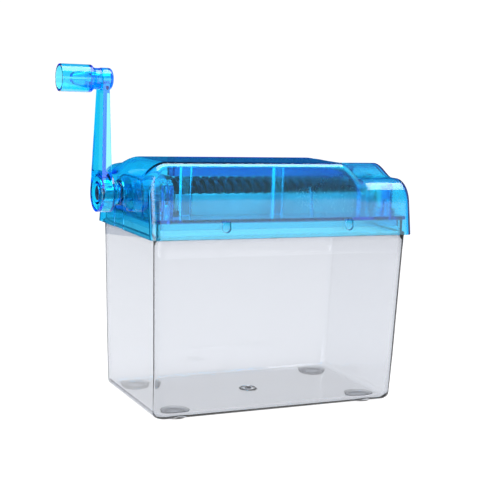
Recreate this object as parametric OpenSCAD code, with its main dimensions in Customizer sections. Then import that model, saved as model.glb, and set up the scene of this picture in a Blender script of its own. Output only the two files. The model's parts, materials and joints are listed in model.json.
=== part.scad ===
// Hand-crank desktop paper shredder: a clear bin, a translucent head with two
// interleaved cutter rollers, and a side crank with a free-turning knob.
// X runs along the rollers (crank at -X), -Y is the front, +Z is up.
// The origin is the middle of the whole outline on the table plane.

/* [Bin] */
// Width of the bin at its floor
bin_base_w = 159; // [130:1:191]
// Depth of the bin at its floor
bin_base_d = 91.2; // [75:0.2:110]
// How much wider and deeper the bin gets towards its shoulder
bin_flare = [7, 3.2]; // [0:0.5:12]
// Height from the underside of the bin to its rim
bin_h = 114.5; // [90:0.5:140]
// Wall thickness of the bin
bin_wall = 2; // [1.2:0.1:3]
// Corner radius of the bin seen from above
bin_corner_r = 5; // [3:0.5:8]
// Radius between the bin's floor and its walls
bin_floor_r = 4; // [3:0.5:6]
// Height of the stepped-in neck at the rim
neck_h = 7.5; // [4:0.5:10]
// How far the neck steps in on each side
neck_step = 1.6; // [1:0.1:2.5]

/* [Feet] */
// Height of a bumper foot
foot_h = 2; // [1:0.1:4]
// Diameter of a bumper foot
foot_d = 17.5; // [10:0.5:20]
// Distance from the bin's floor edge to the foot's centre
foot_inset = [16.5, 14]; // [10:0.5:30]

/* [Head cover] */
// Clearance between the bin's shoulder and the skirt on each side
skirt_gap = [1, 0.5]; // [0.3:0.1:2]
// Wall thickness of the cover
cover_wall = 2; // [1.2:0.1:3]
// How far the skirt reaches down over the bin's rim
skirt_drop = 9; // [6:0.5:12]
// Lean of the front and rear walls, in degrees
wall_lean = 9.8; // [4:0.2:12]
// Height of the front shoulder above the rim
shoulder_h = 24.5; // [22:0.5:32]
// Height of the raised front deck above the shoulder
deck_step = 10; // [8:0.5:14]
// How far the rear deck lies below the raised deck
rear_drop = 2.5; // [1:0.1:5]
// Fall of the rear deck from its front to its back
rear_fall = 3.5; // [1:0.1:6]
// Radius over the front shoulder
shoulder_r = 14; // [8:0.5:18]
// Radius along the front edge of the raised deck
deck_edge_r = 5; // [2:0.5:8]
// Radius over the left end of the head
left_end_r = 11; // [8:0.5:20]
// Radius over the right end of the head
right_end_r = 4; // [2:0.5:8]
// Width of the scoop at the right, from the cover's end to the foot of its slope
scoop_w = 30; // [25:1:45]
// Length of the slope between the raised deck and the scoop
slope_w = 19; // [16:1:32]

/* [Paper slot] */
// Distance from the ends of the paper slot to the side plates
slot_end = 7.5; // [4:0.5:15]
// Width of the paper slot
slot_w = 6; // [4.4:0.1:8]

/* [Cutters] */
// Distance between the two shafts
shaft_gap = 18; // [15:0.5:20]
// Height of the shafts above the rim
shaft_h = 12.3; // [11:0.1:15]
// Distance of the drive shaft behind the middle of the head
drive_y = 8.5; // [6:0.5:12]
// Diameter of both shafts
shaft_d = 7; // [5:0.1:8.4]
// Radius of a cutter disc
disc_r = 10; // [9:0.1:10.4]
// Thickness of a cutter disc
disc_t = 2.9; // [2:0.1:4]
// Gap between neighbouring discs of the two shafts
disc_gap = 0.1; // [0.05:0.05:0.3]
// Clearance between disc tips and the other shaft's spacers
tip_gap = 0.6; // [0.3:0.1:1.5]
// Number of teeth on each gear
gear_teeth = 18; // [16:1:20]
// Width of each gear
gear_w = 8; // [5:0.5:9]

/* [Chassis] */
// Thickness of the chassis plate
plate_t = 2; // [1.5:0.1:3]
// Thickness of the two side plates
side_t = 3; // [2:0.1:4]
// Distance from the cover's left end to the left side plate
left_bay = 20; // [19:0.5:26]
// Distance from the cover's right end to the right side plate
right_bay = 14; // [12:0.5:20]
// Width of a front post
post_w = 6.5; // [4:0.5:8]
// Depth of a front post from its front to its back
post_d = 4.5; // [3:0.5:6]

/* [Crank] */
// Distance from the shaft to the knob's axis
crank_l = 66.9; // [50:0.1:85]
// Diameter of the hub
hub_d = 22.8; // [18:0.2:26]
// Length of the hub along the shaft
hub_l = 12.2; // [10:0.1:16]
// Diameter of the boss at the top of the arm
boss_d = 13; // [11:0.5:15]
// Thickness of the arm at the hub and at the boss
arm_t = [6.4, 3.6]; // [3:0.1:8]
// Thickness of the arm's outer web, behind which it is hollow
web_t = 2.6; // [1.2:0.1:3]
// Thickness of the arm's two rims
rim_t = 1.4; // [1:0.1:3]
// Outer diameter of the knob
knob_d = 16; // [14:0.5:20]
// Length of the knob with its neck
knob_l = 24.6; // [20:0.2:36]
// Wall thickness of the knob's tube
knob_wall = 1.4; // [1:0.1:2]

/* [Hidden] */
$fn = 64;

// General clearances
press_gap = 0.02;   // round pieces pressed together
run_gap = 0.05;     // radial running clearance
loose_gap = 0.3;    // pieces that only pass each other
cut = 1;            // how far a cutting body runs past a face

// Heights above the table
rim_z = foot_h + bin_h;
skirt_z = rim_z - skirt_drop;
plate_top = rim_z + plate_t;
shaft_z = rim_z + shaft_h;
shoulder_z = rim_z + shoulder_h;
deck_z = shoulder_z + deck_step;
rear_z = deck_z - rear_drop;

// Places of the shafts and of the slot's middle
driven_y = drive_y - shaft_gap;
mid_y = (drive_y + driven_y) / 2;

// Outline of the bin and the cover seen from above
shoulder_size = [bin_base_w + bin_flare[0], bin_base_d + bin_flare[1]];
neck_size = [shoulder_size[0] - 2 * neck_step, shoulder_size[1] - 2 * neck_step];
neck_inner = [neck_size[0] - 2 * bin_wall, neck_size[1] - 2 * bin_wall];
cover_w = shoulder_size[0] + 2 * (skirt_gap[0] + cover_wall);
cover_d = shoulder_size[1] + 2 * (skirt_gap[1] + cover_wall / cos(wall_lean));
cover_r = bin_corner_r;
left_x = -cover_w / 2;
right_x = cover_w / 2;

// Half the cover's depth at a height, outside and inside
function half_d(z) = cover_d / 2 - (z - skirt_z) * tan(wall_lean);
function half_d_inside(z) = half_d(z) - cover_wall / cos(wall_lean);

// Lengthwise lines on top of the head
shoulder_flat = 4;    // level strip behind the front shoulder
rear_flat = 5.2;      // level strip in front of the rear edge
rear_edge_r = shoulder_r - 2;
rise_y = shoulder_r + shoulder_flat - half_d(shoulder_z);
crest_y = mid_y - 4.5;
deck_back_y = mid_y + slot_w / 2;
rear_edge_y = cover_d / 2 - 18;
deck_end_y = rear_edge_y - rear_flat;
top_rows = concat(
    [for (i = [0:9]) rise_y + (crest_y - rise_y) * i / 9],
    [for (i = [0:8]) deck_back_y + (deck_end_y - deck_back_y) * i / 8]);
end_fall = 2;
slope_x = right_x - scoop_w - slope_w;

// Screw bosses of the cover
boss_x = cover_w / 2 - 13;
boss_y = cover_d / 2 - 13.5;
boss_r = 3.5;

// Chassis
plate_size = [cover_w - 2 * (cover_wall + loose_gap), 2 * (half_d_inside(plate_top) - loose_gap)];
lip_t = 1.5;
lip_h = 4;
left_plate_x = left_x + left_bay;
right_plate_x = right_x - right_bay;
bay_l = right_plate_x - left_plate_x - side_t;
slot_x = (left_plate_x + side_t + right_plate_x) / 2;
slot_l = bay_l - 2 * slot_end;
side_r = disc_r + 2;
boss_gap = 2.2;       // between a side plate's foot and the cover's bosses
side_base_d = 2 * (boss_y - boss_r - boss_gap);
tab_l = 8;
tab_d = 7;
tab_t = 3;
tab_y = side_base_d / 2 - tab_d / 2;
tab_screws_x = [left_plate_x - tab_l / 2, right_plate_x + side_t + tab_l / 2];

// Cutter rollers
spacer_r = shaft_gap - disc_r - tip_gap;
disc_pitch = 2 * (disc_t + disc_gap);
spacer_t = disc_pitch - disc_t - 2 * press_gap;
pack_x = left_plate_x + side_t + 1.1;
drive_count = floor((right_plate_x - 1 - pack_x - disc_t) / disc_pitch) + 1;
driven_count = drive_count - 1;
gear_module = shaft_gap / gear_teeth;
gear_x = left_plate_x - 4.9 - gear_w;
shaft_end = right_plate_x + side_t + 4;

// Bushes and clips
bush_r = shaft_d / 2 + 2;
bush_flange_r = shaft_d / 2 + 4;
bush_flange_t = 0.9;
clip_groove_r = shaft_d / 2 - 0.7;
clip_x = right_plate_x + side_t + bush_flange_t + 0.3;
clip_t = 0.8;

// Gear cover
gear_cover_wall = 1.5;
gear_cover_x = gear_x - 1 - gear_cover_wall;
gear_cover_r = shaft_gap / 2 + gear_module + 1 + gear_cover_wall;

// Tongue below the crank shaft, and the bush that it holds
tongue_w = 16.5;
tongue_gap = 0.25;
wall_bush_flange_r = 7.5;
wall_bush_flange_t = 1.6;
wall_bush_r = 5.5;

// Snap tongues in the skirt
snap_x = 40.5;
snap_w = 5.5;
snap_z = skirt_z + 3.5;

// Screws
screw_r = 1.45;
screw_hole_r = 1.5;
screw_head_r = 2.8;
screw_head_t = 1.9;

// Crank
hub_in_x = left_x - wall_bush_flange_t - 0.7;
hub_out_x = hub_in_x - hub_l;
hub_neck_r = 7;
hub_rim_l = 8.4;
recess_r = 5.5;
recess_l = 3;
knob_z = shaft_z + crank_l;
arm_top_x = hub_out_x + 1.3;
boss_l = 6.7;
arm_ease = 0.2;       // how far the arm lies inside the hub and the boss
knob_x = arm_top_x - 0.2;
knob_tip_x = knob_x - knob_l;
knob_neck_r = boss_d / 2 - 0.3;
knob_neck_l = 5.2;
spindle_r = 3.5;
spindle_head_r = 5.4;
spindle_tip_r = 2.6;
spindle_head_l = 11;
knob_floor_x = knob_x - knob_neck_l - knob_wall;

// The outline's middle lies on the origin
frame_x = -(knob_tip_x + right_x) / 2;

// Comb fingers
comb_t = 2.5;
comb_y_gap = 2;
finger_t = 2.3;
finger_z = 3;

// Points of an arc about c, from angle a0 to a1
function arc(c, r, a0, a1, n = 10) =
    [for (i = [0:n]) c + r * [cos(a0 + (a1 - a0) * i / n), sin(a0 + (a1 - a0) * i / n)]];

// Rises from 0 to 1, level at both ends
function ease(t) = let (c = min(1, max(0, t))) c * c * (3 - 2 * c);

// Rises from 0 to 1 like a quarter circle, steep at first
function bulge(t) = let (c = min(1, max(0, t))) sqrt(1 - (1 - c) * (1 - c));

module place() translate([frame_x, 0, 0]) children();

// Turns a profile drawn in (y, z) into a body from x0 to x1
module along_x(x0, x1)
    translate([x0, 0, 0]) rotate([90, 0, 90]) linear_extrude(x1 - x0) children();

// Turns a profile drawn in (x, z) into a body from y0 to y1
module along_y(y0, y1)
    translate([0, y1, 0]) rotate([90, 0, 0]) linear_extrude(y1 - y0) children();

// A body of revolution about the line through (y, z) along X, drawn in (radius, x)
module round_x(y, z)
    translate([0, y, z]) rotate([0, 90, 0]) rotate_extrude() children();

module rod_x(x0, x1, y, z, r)
    translate([x0, y, z]) rotate([0, 90, 0]) cylinder(h = x1 - x0, r = r);

module rounded_rect(size, r) {
    square([size[0] - 2 * r, size[1]], center = true);
    square([size[0], size[1] - 2 * r], center = true);
    for (sx = [-1, 1], sy = [-1, 1])
        translate([sx * (size[0] / 2 - r), sy * (size[1] / 2 - r)]) circle(r);
}

// Tapered tub with rounded corners and floor edge, from z = 0 up to h
module tub(base, top, h, r, floor_r) {
    hull() {
        for (sx = [-1, 1], sy = [-1, 1]) {
            translate([sx * (base[0] / 2 - floor_r), sy * (base[1] / 2 - floor_r), floor_r])
                sphere(floor_r, $fn = 32);
            translate([sx * (top[0] / 2 - r), sy * (top[1] / 2 - r), h - 0.01])
                cylinder(h = 0.01, r = r, $fn = 32);
        }
    }
}

module bin() {
    base = [bin_base_w, bin_base_d];
    wall = [2 * bin_wall, 2 * bin_wall];
    shoulder_h_in_bin = bin_h - neck_h;
    inner_r = bin_corner_r - bin_wall;
    inner_floor_r = bin_floor_r - bin_wall / 2;
    color([0.9, 0.92, 0.93, 0.35]) place() translate([0, 0, foot_h]) difference() {
        union() {
            tub(base, shoulder_size, shoulder_h_in_bin, bin_corner_r, bin_floor_r);
            translate([0, 0, shoulder_h_in_bin - 0.5]) linear_extrude(neck_h + 0.5)
                rounded_rect(neck_size, bin_corner_r - neck_step / 2);
        }
        translate([0, 0, bin_wall])
            tub(base - wall, neck_inner, shoulder_h_in_bin - 2 * bin_wall, inner_r, inner_floor_r);
        translate([0, 0, shoulder_h_in_bin - bin_wall - 0.5]) linear_extrude(neck_h + bin_wall + 0.5 + cut)
            rounded_rect(neck_inner, inner_r);
        translate([0, 0, -cut]) cylinder(h = cut + 0.5, r = 5);
    }
}

module foot() {
    rotate_extrude() polygon(concat(
        [[0, 0], [foot_d / 2 - 1.8, 0]],
        arc([foot_d / 2 - 1.8, 1.4], 1.4, -70, 0, 5),
        [[foot_d / 2, foot_h], [0, foot_h]]));
}

module bumper_feet() {
    color([0.75, 0.77, 0.8, 0.6]) place()
        for (sx = [-1, 1], sy = [-1, 1])
            translate([sx * (bin_base_w / 2 - foot_inset[0]), sy * (bin_base_d / 2 - foot_inset[1]), 0])
                foot();
}

// Height of the head's top where nothing is raised, at its left end
function base_z(y) = shoulder_z - end_fall * max(0, (y - crest_y) / (rear_edge_y - crest_y));

// Height of the top past the scoop: front shoulder, rise and rear deck
function end_z(y) = y < crest_y
    ? shoulder_z + (rear_z - shoulder_z) * ease((y - rise_y) / (crest_y - rise_y))
    : rear_z - rear_fall * (y - crest_y) / (rear_edge_y - crest_y);

// Height of the top along the raised deck, which runs out on the rear deck
function raised_z(y) = deck_z + (end_z(y) - deck_z) * ease((y - deck_back_y) / (deck_end_y - deck_back_y));

// How much of the raised deck there is at x: full at 1, none past the scoop's slope
function raised_share(x) = 1 - ease((x - slope_x) / slope_w);

// How far the top has swelled up from the left end, from 0 to 1
function swell(x, inset) = bulge((x - left_x - inset) / (left_end_r - inset));

function top_z(x, y, inset) =
    let (share = raised_share(x), full = end_z(y) + share * (raised_z(y) - end_z(y)))
    base_z(y) + swell(x, inset) * (full - base_z(y)) - inset
    - right_end_r * (1 - bulge((right_x - inset - x) / right_end_r));

// How far the front and rear walls draw in to round the upright corners
function corner_in(x, inset) = let (r = cover_r - inset / 2, d = min(x - left_x, right_x - x) - inset)
    r * (1 - bulge(d / r));

// How far the front and rear walls lie inside the cover's outline at x
function wall_in(x, inset) = inset / cos(wall_lean) + corner_in(x, inset);

// The arc over the front edge of the head at x: its centre's y and z, and its radius
function front_arc(x, inset) =
    let (
        share = raised_share(x) * swell(x, inset),
        r = shoulder_r + share * (deck_edge_r - shoulder_r) - inset,
        z = top_z(x, rise_y, inset) - r,
        y = -half_d(z + r * sin(wall_lean)) + wall_in(x, inset) + r * cos(wall_lean)
    )
    [y, z, r];

// Height of the head's top at (x, y) in front of the crest, over the front edge too
function front_z(x, y, inset) =
    let (c = front_arc(x, inset), back = max(0, c[0] - y))
    back > 0 ? c[1] + sqrt(max(0, c[2] * c[2] - back * back)) : top_z(x, max(y, rise_y), inset);

// One cross-section of the head at x, as points in (y, z); inset draws the hollow's
function head_section(x, inset) =
    let (
        low = inset > 0 ? skirt_z - cut : skirt_z,
        front = front_arc(x, inset),
        rear_r = rear_edge_r - inset,
        rear_c = top_z(x, rear_edge_y, inset) - rear_r,
        rear_y = half_d(rear_c + rear_r * sin(wall_lean)) - wall_in(x, inset) - rear_r * cos(wall_lean)
    )
    concat(
        [[-half_d(low) + wall_in(x, inset), low]],
        arc([front[0], front[1]], front[2], 180 - wall_lean, 90, 8),
        [for (y = top_rows) [y, top_z(x, y, inset)]],
        arc([rear_y, rear_c], rear_r, 90, wall_lean, 6),
        [[half_d(low) - wall_in(x, inset), low]]);

// Places of the cross-sections along x, close together where the head curves
function head_stations(inset) =
    let (x0 = left_x + inset, x1 = right_x - inset, n = 10, m = 12, k = 5, w = left_end_r - inset)
    concat(
        [for (i = [0:n]) x0 + w * i * i / (n * n)],
        [for (i = [0:m]) slope_x + slope_w * i / m],
        [for (i = [k:-1:0]) x1 - cover_r * i * i / (k * k)]);

// The head as a full body; inset draws the hollow inside its walls
module head_body(inset = 0) {
    xs = head_stations(inset);
    rings = [for (x = xs) [for (p = head_section(x, inset)) [x, p[0], p[1]]]];
    count = len(rings[0]);
    last = (len(xs) - 1) * count;
    polyhedron(
        points = [for (ring = rings) each ring],
        faces = concat(
            [[for (i = [count - 1:-1:0]) i], [for (i = [0:count - 1]) last + i]],
            [for (s = [0:len(xs) - 2], i = [0:count - 1])
                let (a = s * count + i, b = s * count + (i + 1) % count) each
                [[a, b, a + count], [b, b + count, a + count]]]));
}

module head_shell() {
    difference() {
        head_body();
        head_body(cover_wall);
    }
}

// U-shaped tab outline, drawn in the plane of a wall, round at its low end
module u_tab(w, low, high) {
    translate([-w / 2, low + w / 2]) square([w, high - low - w / 2]);
    translate([0, low + w / 2]) circle(w / 2);
}

module snap_prism(gap) {
    top = rim_z + plate_t / 2;
    for (sx = [-1, 1], sy = [-1, 1])
        along_y(sy > 0 ? 0 : -cover_d, sy > 0 ? cover_d : 0)
            translate([sx * snap_x, 0]) u_tab(snap_w - 2 * gap, snap_z + gap, top - gap);
}

module tongue_prism(gap) {
    r = tongue_w / 2 - gap;
    low = skirt_z - (gap > 0 ? 0 : cut);
    along_x(left_x - cut, left_x + 8) {
        translate([drive_y, shaft_z]) circle(r);
        translate([drive_y - r, low]) square([2 * r, shaft_z - low]);
    }
}

module slot_prism() {
    translate([slot_x - slot_l / 2, mid_y - slot_w / 2, deck_z - 20]) cube([slot_l, slot_w, 40]);
}

module head_cover() {
    color([0.05, 0.55, 0.95, 0.6]) place() difference() {
        union() {
            head_shell();
            intersection() {
                head_body();
                for (sx = [-1, 1], sy = [-1, 1])
                    translate([sx * boss_x, sy * boss_y, plate_top]) cylinder(h = deck_z, r = boss_r);
            }
        }
        for (sx = [-1, 1], sy = [-1, 1])
            translate([sx * boss_x, sy * boss_y, plate_top - cut]) cylinder(h = 10 + cut, r = screw_hole_r);
        snap_prism(0);
        tongue_prism(0);
        slot_prism();
    }
}

// Front and rear walls of the skirt between two heights, and a strip inside each up to y
module skirt_walls(low, high, inner_y) {
    for (sy = [-1, 1])
        along_x(-snap_x - snap_w, snap_x + snap_w) {
            polygon([
                [sy * half_d(low), low], [sy * half_d(high), high],
                [sy * half_d_inside(high), high], [sy * half_d_inside(low), low]]);
            polygon([
                [sy * half_d_inside(rim_z), rim_z], [sy * half_d_inside(high), high],
                [sy * inner_y, high], [sy * inner_y, rim_z]]);
        }
}

module snap_tongues() {
    color([0.3, 0.8, 1, 0.7]) place() intersection() {
        skirt_walls(snap_z, rim_z + plate_t / 2, plate_size[1] / 2);
        snap_prism(tongue_gap);
    }
}

module shaft_tongue() {
    ledge_l = gear_cover_x - loose_gap - left_x;
    color([0.3, 0.8, 1, 0.7]) place() difference() {
        intersection() {
            union() {
                translate([left_x, drive_y - tongue_w, skirt_z])
                    cube([cover_wall, 2 * tongue_w, deck_z - skirt_z]);
                translate([left_x, drive_y - tongue_w, plate_top]) cube([ledge_l, 2 * tongue_w, 3]);
            }
            tongue_prism(tongue_gap);
        }
        rod_x(left_x - cut, left_x + 8, drive_y, shaft_z, wall_bush_r + press_gap);
    }
}

module chassis_plate() {
    opening = [bay_l - 4, shaft_gap + 2 * disc_r - 4];
    lip_out = [neck_inner[0] - 2 * loose_gap, neck_inner[1] - 2 * loose_gap];
    color([0.1, 0.35, 0.75, 0.8]) place() difference() {
        union() {
            translate([0, 0, rim_z]) linear_extrude(plate_t) rounded_rect(plate_size, 3);
            translate([0, 0, rim_z - lip_h]) linear_extrude(lip_h) difference() {
                rounded_rect(lip_out, 3);
                rounded_rect([lip_out[0] - 2 * lip_t, lip_out[1] - 2 * lip_t], 3 - lip_t / 2);
            }
        }
        translate([slot_x, mid_y, rim_z - cut]) linear_extrude(plate_t + 2 * cut) rounded_rect(opening, 3);
        for (sx = [-1, 1], sy = [-1, 1])
            translate([sx * boss_x, sy * boss_y, rim_z - cut])
                cylinder(h = plate_t + 2 * cut, r = screw_hole_r);
        for (x = tab_screws_x, sy = [-1, 1])
            translate([x, sy * tab_y, rim_z - cut]) cylinder(h = plate_t + 2 * cut, r = screw_hole_r);
    }
}

// Side plate from x, with its fixing tabs towards tab_dir
module side_plate(x, tab_dir) {
    tab_x = tab_dir < 0 ? x - tab_l : x + side_t;
    difference() {
        union() {
            along_x(x, x + side_t) {
                arch_outline(side_r, plate_top);
                translate([-side_base_d / 2, plate_top]) square([side_base_d, 3.5]);
            }
            for (sy = [-1, 1])
                translate([tab_x - (tab_dir < 0 ? 0 : 0.5), sy * tab_y - tab_d / 2, plate_top])
                    cube([tab_l + 0.5, tab_d, tab_t]);
        }
        for (y = [driven_y, drive_y])
            rod_x(x - cut, x + side_t + cut, y, shaft_z, bush_r + press_gap);
        for (sy = [-1, 1])
            translate([tab_x + tab_l / 2, sy * tab_y, rim_z]) cylinder(h = 10, r = screw_hole_r);
    }
}

module left_side_plate() {
    color([0.1, 0.5, 0.9, 0.7]) place() side_plate(left_plate_x, -1);
}

module right_side_plate() {
    color([0.1, 0.5, 0.9, 0.7]) place() side_plate(right_plate_x, 1);
}

// Flanged bush in a side plate; the flange lies on the outer face
module bush(x, y, flange_dir) {
    flange_x = flange_dir < 0 ? x - bush_flange_t : x + side_t;
    difference() {
        union() {
            rod_x(x, x + side_t, y, shaft_z, bush_r);
            rod_x(flange_x, flange_x + bush_flange_t, y, shaft_z, bush_flange_r);
        }
        rod_x(x - 3, x + side_t + 3, y, shaft_z, shaft_d / 2 + run_gap);
    }
}

module shaft_bushes() {
    color([0.85, 0.7, 0.35]) place()
        for (y = [driven_y, drive_y]) {
            bush(left_plate_x, y, -1);
            bush(right_plate_x, y, 1);
        }
}

module crank_bush() {
    color([0.05, 0.25, 0.75, 0.9]) place() difference() {
        union() {
            rod_x(left_x, left_x + cover_wall + 1, drive_y, shaft_z, wall_bush_r);
            rod_x(left_x - wall_bush_flange_t, left_x, drive_y, shaft_z, wall_bush_flange_r);
        }
        rod_x(left_x - 5, left_x + 5, drive_y, shaft_z, shaft_d / 2 + run_gap);
    }
}

module gear_cover() {
    inner_r = gear_cover_r - gear_cover_wall;
    color([0.3, 0.75, 1, 0.6]) place() difference() {
        along_x(gear_cover_x, left_plate_x) arch_outline(gear_cover_r, plate_top);
        along_x(gear_cover_x + gear_cover_wall, left_plate_x + cut) arch_outline(inner_r, plate_top - cut);
        rod_x(gear_cover_x - cut, gear_x, drive_y, shaft_z, shaft_d / 2 + loose_gap);
    }
}

// Outline round both shafts, straight down to a height
module arch_outline(r, low) {
    intersection() {
        union() {
            translate([driven_y, shaft_z]) circle(r);
            translate([drive_y, shaft_z]) circle(r);
            translate([driven_y, low]) square([shaft_gap, shaft_z + r - low]);
            translate([driven_y - r, low]) square([shaft_gap + 2 * r, shaft_z - low]);
        }
        translate([driven_y - 2 * r, low]) square([shaft_gap + 4 * r, shaft_z + 2 * r - low]);
    }
}

// Stripper comb on the side dir of the rollers, one finger beside each disc
module comb(dir, y, finger_x, count) {
    bar_y = y + dir * (disc_r + comb_y_gap);
    tip_y = y + dir * (spacer_r + tip_gap);
    low = min(bar_y, bar_y + dir * comb_t);
    x0 = left_plate_x + side_t + 0.3;
    translate([x0, low, plate_top]) cube([bay_l - 0.6, comb_t, shaft_h]);
    for (i = [0:count - 1])
        translate([finger_x + i * disc_pitch, min(tip_y, bar_y + dir * 0.2), plate_top + finger_z])
            cube([finger_t, abs(bar_y - tip_y) + 0.2, shaft_h - finger_z]);
}

module front_comb() {
    finger_x = pack_x + disc_pitch + (disc_t - finger_t) / 2;
    color([0.62, 0.68, 0.74]) place() comb(-1, driven_y, finger_x, driven_count - 1);
}

module rear_comb() {
    finger_x = pack_x + disc_pitch / 2 + (disc_t - finger_t) / 2;
    color([0.62, 0.68, 0.74]) place() comb(1, drive_y, finger_x, drive_count - 1);
}

// Three uprights in front of the comb, each reaching up to the cover
module front_posts() {
    y = driven_y - disc_r - comb_y_gap - comb_t - loose_gap - post_d;
    first_x = left_plate_x + side_t + 1.8;
    last_x = right_plate_x - 6.8 - post_w;
    color([0.2, 0.65, 1, 0.7]) place()
        for (x = [first_x, (first_x + last_x) / 2, last_x]) {
            top = min(front_z(x, y, cover_wall), front_z(x + post_w, y, cover_wall)) - loose_gap;
            translate([x, y, plate_top]) cube([post_w, post_d, top - plate_top]);
        }
}

module paper_chute() {
    wall = 1.5;
    low = shaft_z + disc_r + 0.9;
    size = [slot_l + 1.2, slot_w + 0.4];
    roof_y = mid_y + slot_w;
    roof = [for (i = [0:12])
        let (x = slope_x + slope_w * i / 12) [x, top_z(x, roof_y, cover_wall) - press_gap]];
    color([0.1, 0.45, 0.9, 0.7]) place() intersection() {
        translate([slot_x, mid_y, low]) linear_extrude(30) difference() {
            square([size[0] + 2 * wall, size[1] + 2 * wall], center = true);
            square(size, center = true);
        }
        along_y(-slot_l, slot_l) polygon(concat(
            [[slot_x - slot_l, low - cut], [slot_x - slot_l, roof[0][1]]],
            roof,
            [[slot_x + slot_l, roof[12][1]], [slot_x + slot_l, low - cut]]));
    }
}

// Pan-head screw along +Z with its head's underside at the origin
module screw(l) {
    translate([0, 0, -0.01]) cylinder(h = l + 0.01, r = screw_r);
    difference() {
        translate([0, 0, -screw_head_t]) cylinder(h = screw_head_t, r = screw_head_r);
        for (a = [0, 90])
            rotate(a) translate([-1.6, -0.35, -screw_head_t - 0.1]) cube([3.2, 0.7, 0.9]);
    }
}

module cover_screws() {
    color([0.75, 0.76, 0.78]) place()
        for (sx = [-1, 1], sy = [-1, 1])
            translate([sx * boss_x, sy * boss_y, rim_z]) screw(plate_t + 8);
}

module chassis_screws() {
    color([0.75, 0.76, 0.78]) place()
        for (x = tab_screws_x, sy = [-1, 1])
            translate([x, sy * tab_y, plate_top + tab_t]) rotate([180, 0, 0]) screw(tab_t + plate_t - 0.2);
}

// Spur gear tooth flank: the angle of the involute at radius r
function involute_angle(base, r) = let (t = sqrt(max(0, r * r / (base * base) - 1))) t * 180 / PI - atan(t);

module gear_outline(phase) {
    pitch_r = gear_module * gear_teeth / 2;
    base = pitch_r * cos(20);
    root = pitch_r - 1.25 * gear_module;
    backlash = 0.12;
    half = 90 / gear_teeth - backlash / pitch_r * 90 / PI + involute_angle(base, pitch_r);
    radii = [for (i = [0:4]) base + (pitch_r + gear_module * 0.95 - base) * i / 4];
    polygon([for (t = [0:gear_teeth - 1]) let (a = phase + t * 360 / gear_teeth) each concat(
        [root * [cos(a - half), sin(a - half)]],
        [for (r = radii) let (b = a - half + involute_angle(base, r)) r * [cos(b), sin(b)]],
        [for (i = [4:-1:0])
            let (r = radii[i], b = a + half - involute_angle(base, r)) r * [cos(b), sin(b)]],
        [root * [cos(a + half), sin(a + half)]])]);
}

module gear(y, phase) {
    difference() {
        along_x(gear_x, gear_x + gear_w) translate([y, shaft_z]) gear_outline(phase);
        rod_x(gear_x - cut, gear_x + gear_w + cut, y, shaft_z, shaft_d / 2 + press_gap);
    }
}

module drive_gear() {
    color([0.93, 0.93, 0.9]) place() gear(drive_y, 180);
}

module driven_gear() {
    color([0.93, 0.93, 0.9]) place() gear(driven_y, 180 / gear_teeth);
}

// Shaft with a clip groove near its right end
module shaft(x0, y) {
    difference() {
        rod_x(x0, shaft_end, y, shaft_z, shaft_d / 2);
        difference() {
            rod_x(clip_x - 0.05, clip_x + clip_t + 0.05, y, shaft_z, shaft_d);
            rod_x(clip_x - cut, clip_x + clip_t + cut, y, shaft_z, clip_groove_r);
        }
    }
}

module drive_shaft() {
    color([0.45, 0.46, 0.5]) place() difference() {
        shaft(hub_out_x + recess_l + 0.2, drive_y);
        rod_x(hub_out_x, hub_out_x + recess_l + 10, drive_y, shaft_z, screw_hole_r + 0.25);
    }
}

module driven_shaft() {
    color([0.45, 0.46, 0.5]) place() shaft(gear_x - 0.6, driven_y);
}

// E-clip in a shaft's groove
module clip(y) {
    difference() {
        rod_x(clip_x, clip_x + clip_t, y, shaft_z, shaft_d / 2 + 2);
        rod_x(clip_x - cut, clip_x + clip_t + cut, y, shaft_z, clip_groove_r + press_gap);
        translate([clip_x - cut, y - 2, shaft_z - shaft_d]) cube([clip_t + 2 * cut, 4, shaft_d]);
    }
}

module drive_clip() {
    color([0.3, 0.3, 0.33]) place() clip(drive_y);
}

module driven_clip() {
    color([0.3, 0.3, 0.33]) place() clip(driven_y);
}

// A row of rings on one shaft
module rings(x0, y, r, t, count) {
    for (i = [0:count - 1]) {
        x = x0 + i * disc_pitch;
        difference() {
            rod_x(x, x + t, y, shaft_z, r);
            rod_x(x - cut, x + t + cut, y, shaft_z, shaft_d / 2 + press_gap);
        }
    }
}

module drive_discs() {
    color([0.35, 0.38, 0.42]) place() rings(pack_x, drive_y, disc_r, disc_t, drive_count);
}

module driven_discs() {
    color([0.35, 0.38, 0.42]) place()
        rings(pack_x + disc_pitch / 2, driven_y, disc_r, disc_t, driven_count);
}

module drive_spacers() {
    color([0.55, 0.57, 0.6]) place()
        rings(pack_x + disc_t + press_gap, drive_y, spacer_r, spacer_t, drive_count - 1);
}

module driven_spacers() {
    x0 = pack_x + disc_pitch / 2 + disc_t + press_gap;
    color([0.55, 0.57, 0.6]) place()
        rings(x0, driven_y, spacer_r, spacer_t, driven_count - 1);
}

// Outline of the arm, moved inward, pushed along X
module arm_outline(inward, x0, x1) {
    along_x(x0, x1) hull() {
        translate([drive_y, shaft_z]) circle(hub_d / 2 - inward);
        translate([drive_y, knob_z]) circle(boss_d / 2 - inward);
    }
}

// Place of the arm's outer face at a height
function outer_face(z) = hub_out_x + (arm_top_x - hub_out_x) * (z - shaft_z) / crank_l;

// Arm blank: tapered in its outline and in its thickness
module arm_blank() {
    low = shaft_z - hub_d;
    top = knob_z + boss_d;
    intersection() {
        arm_outline(arm_ease, hub_out_x - cut, hub_in_x);
        along_y(drive_y - hub_d, drive_y + hub_d) polygon([
            [hub_out_x, low],
            [hub_out_x, shaft_z],
            [arm_top_x, knob_z],
            [arm_top_x, top],
            [arm_top_x + arm_t[1], top],
            [arm_top_x + arm_t[1], knob_z],
            [hub_out_x + arm_t[0], shaft_z],
            [hub_out_x + arm_t[0], low]]);
    }
}

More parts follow.
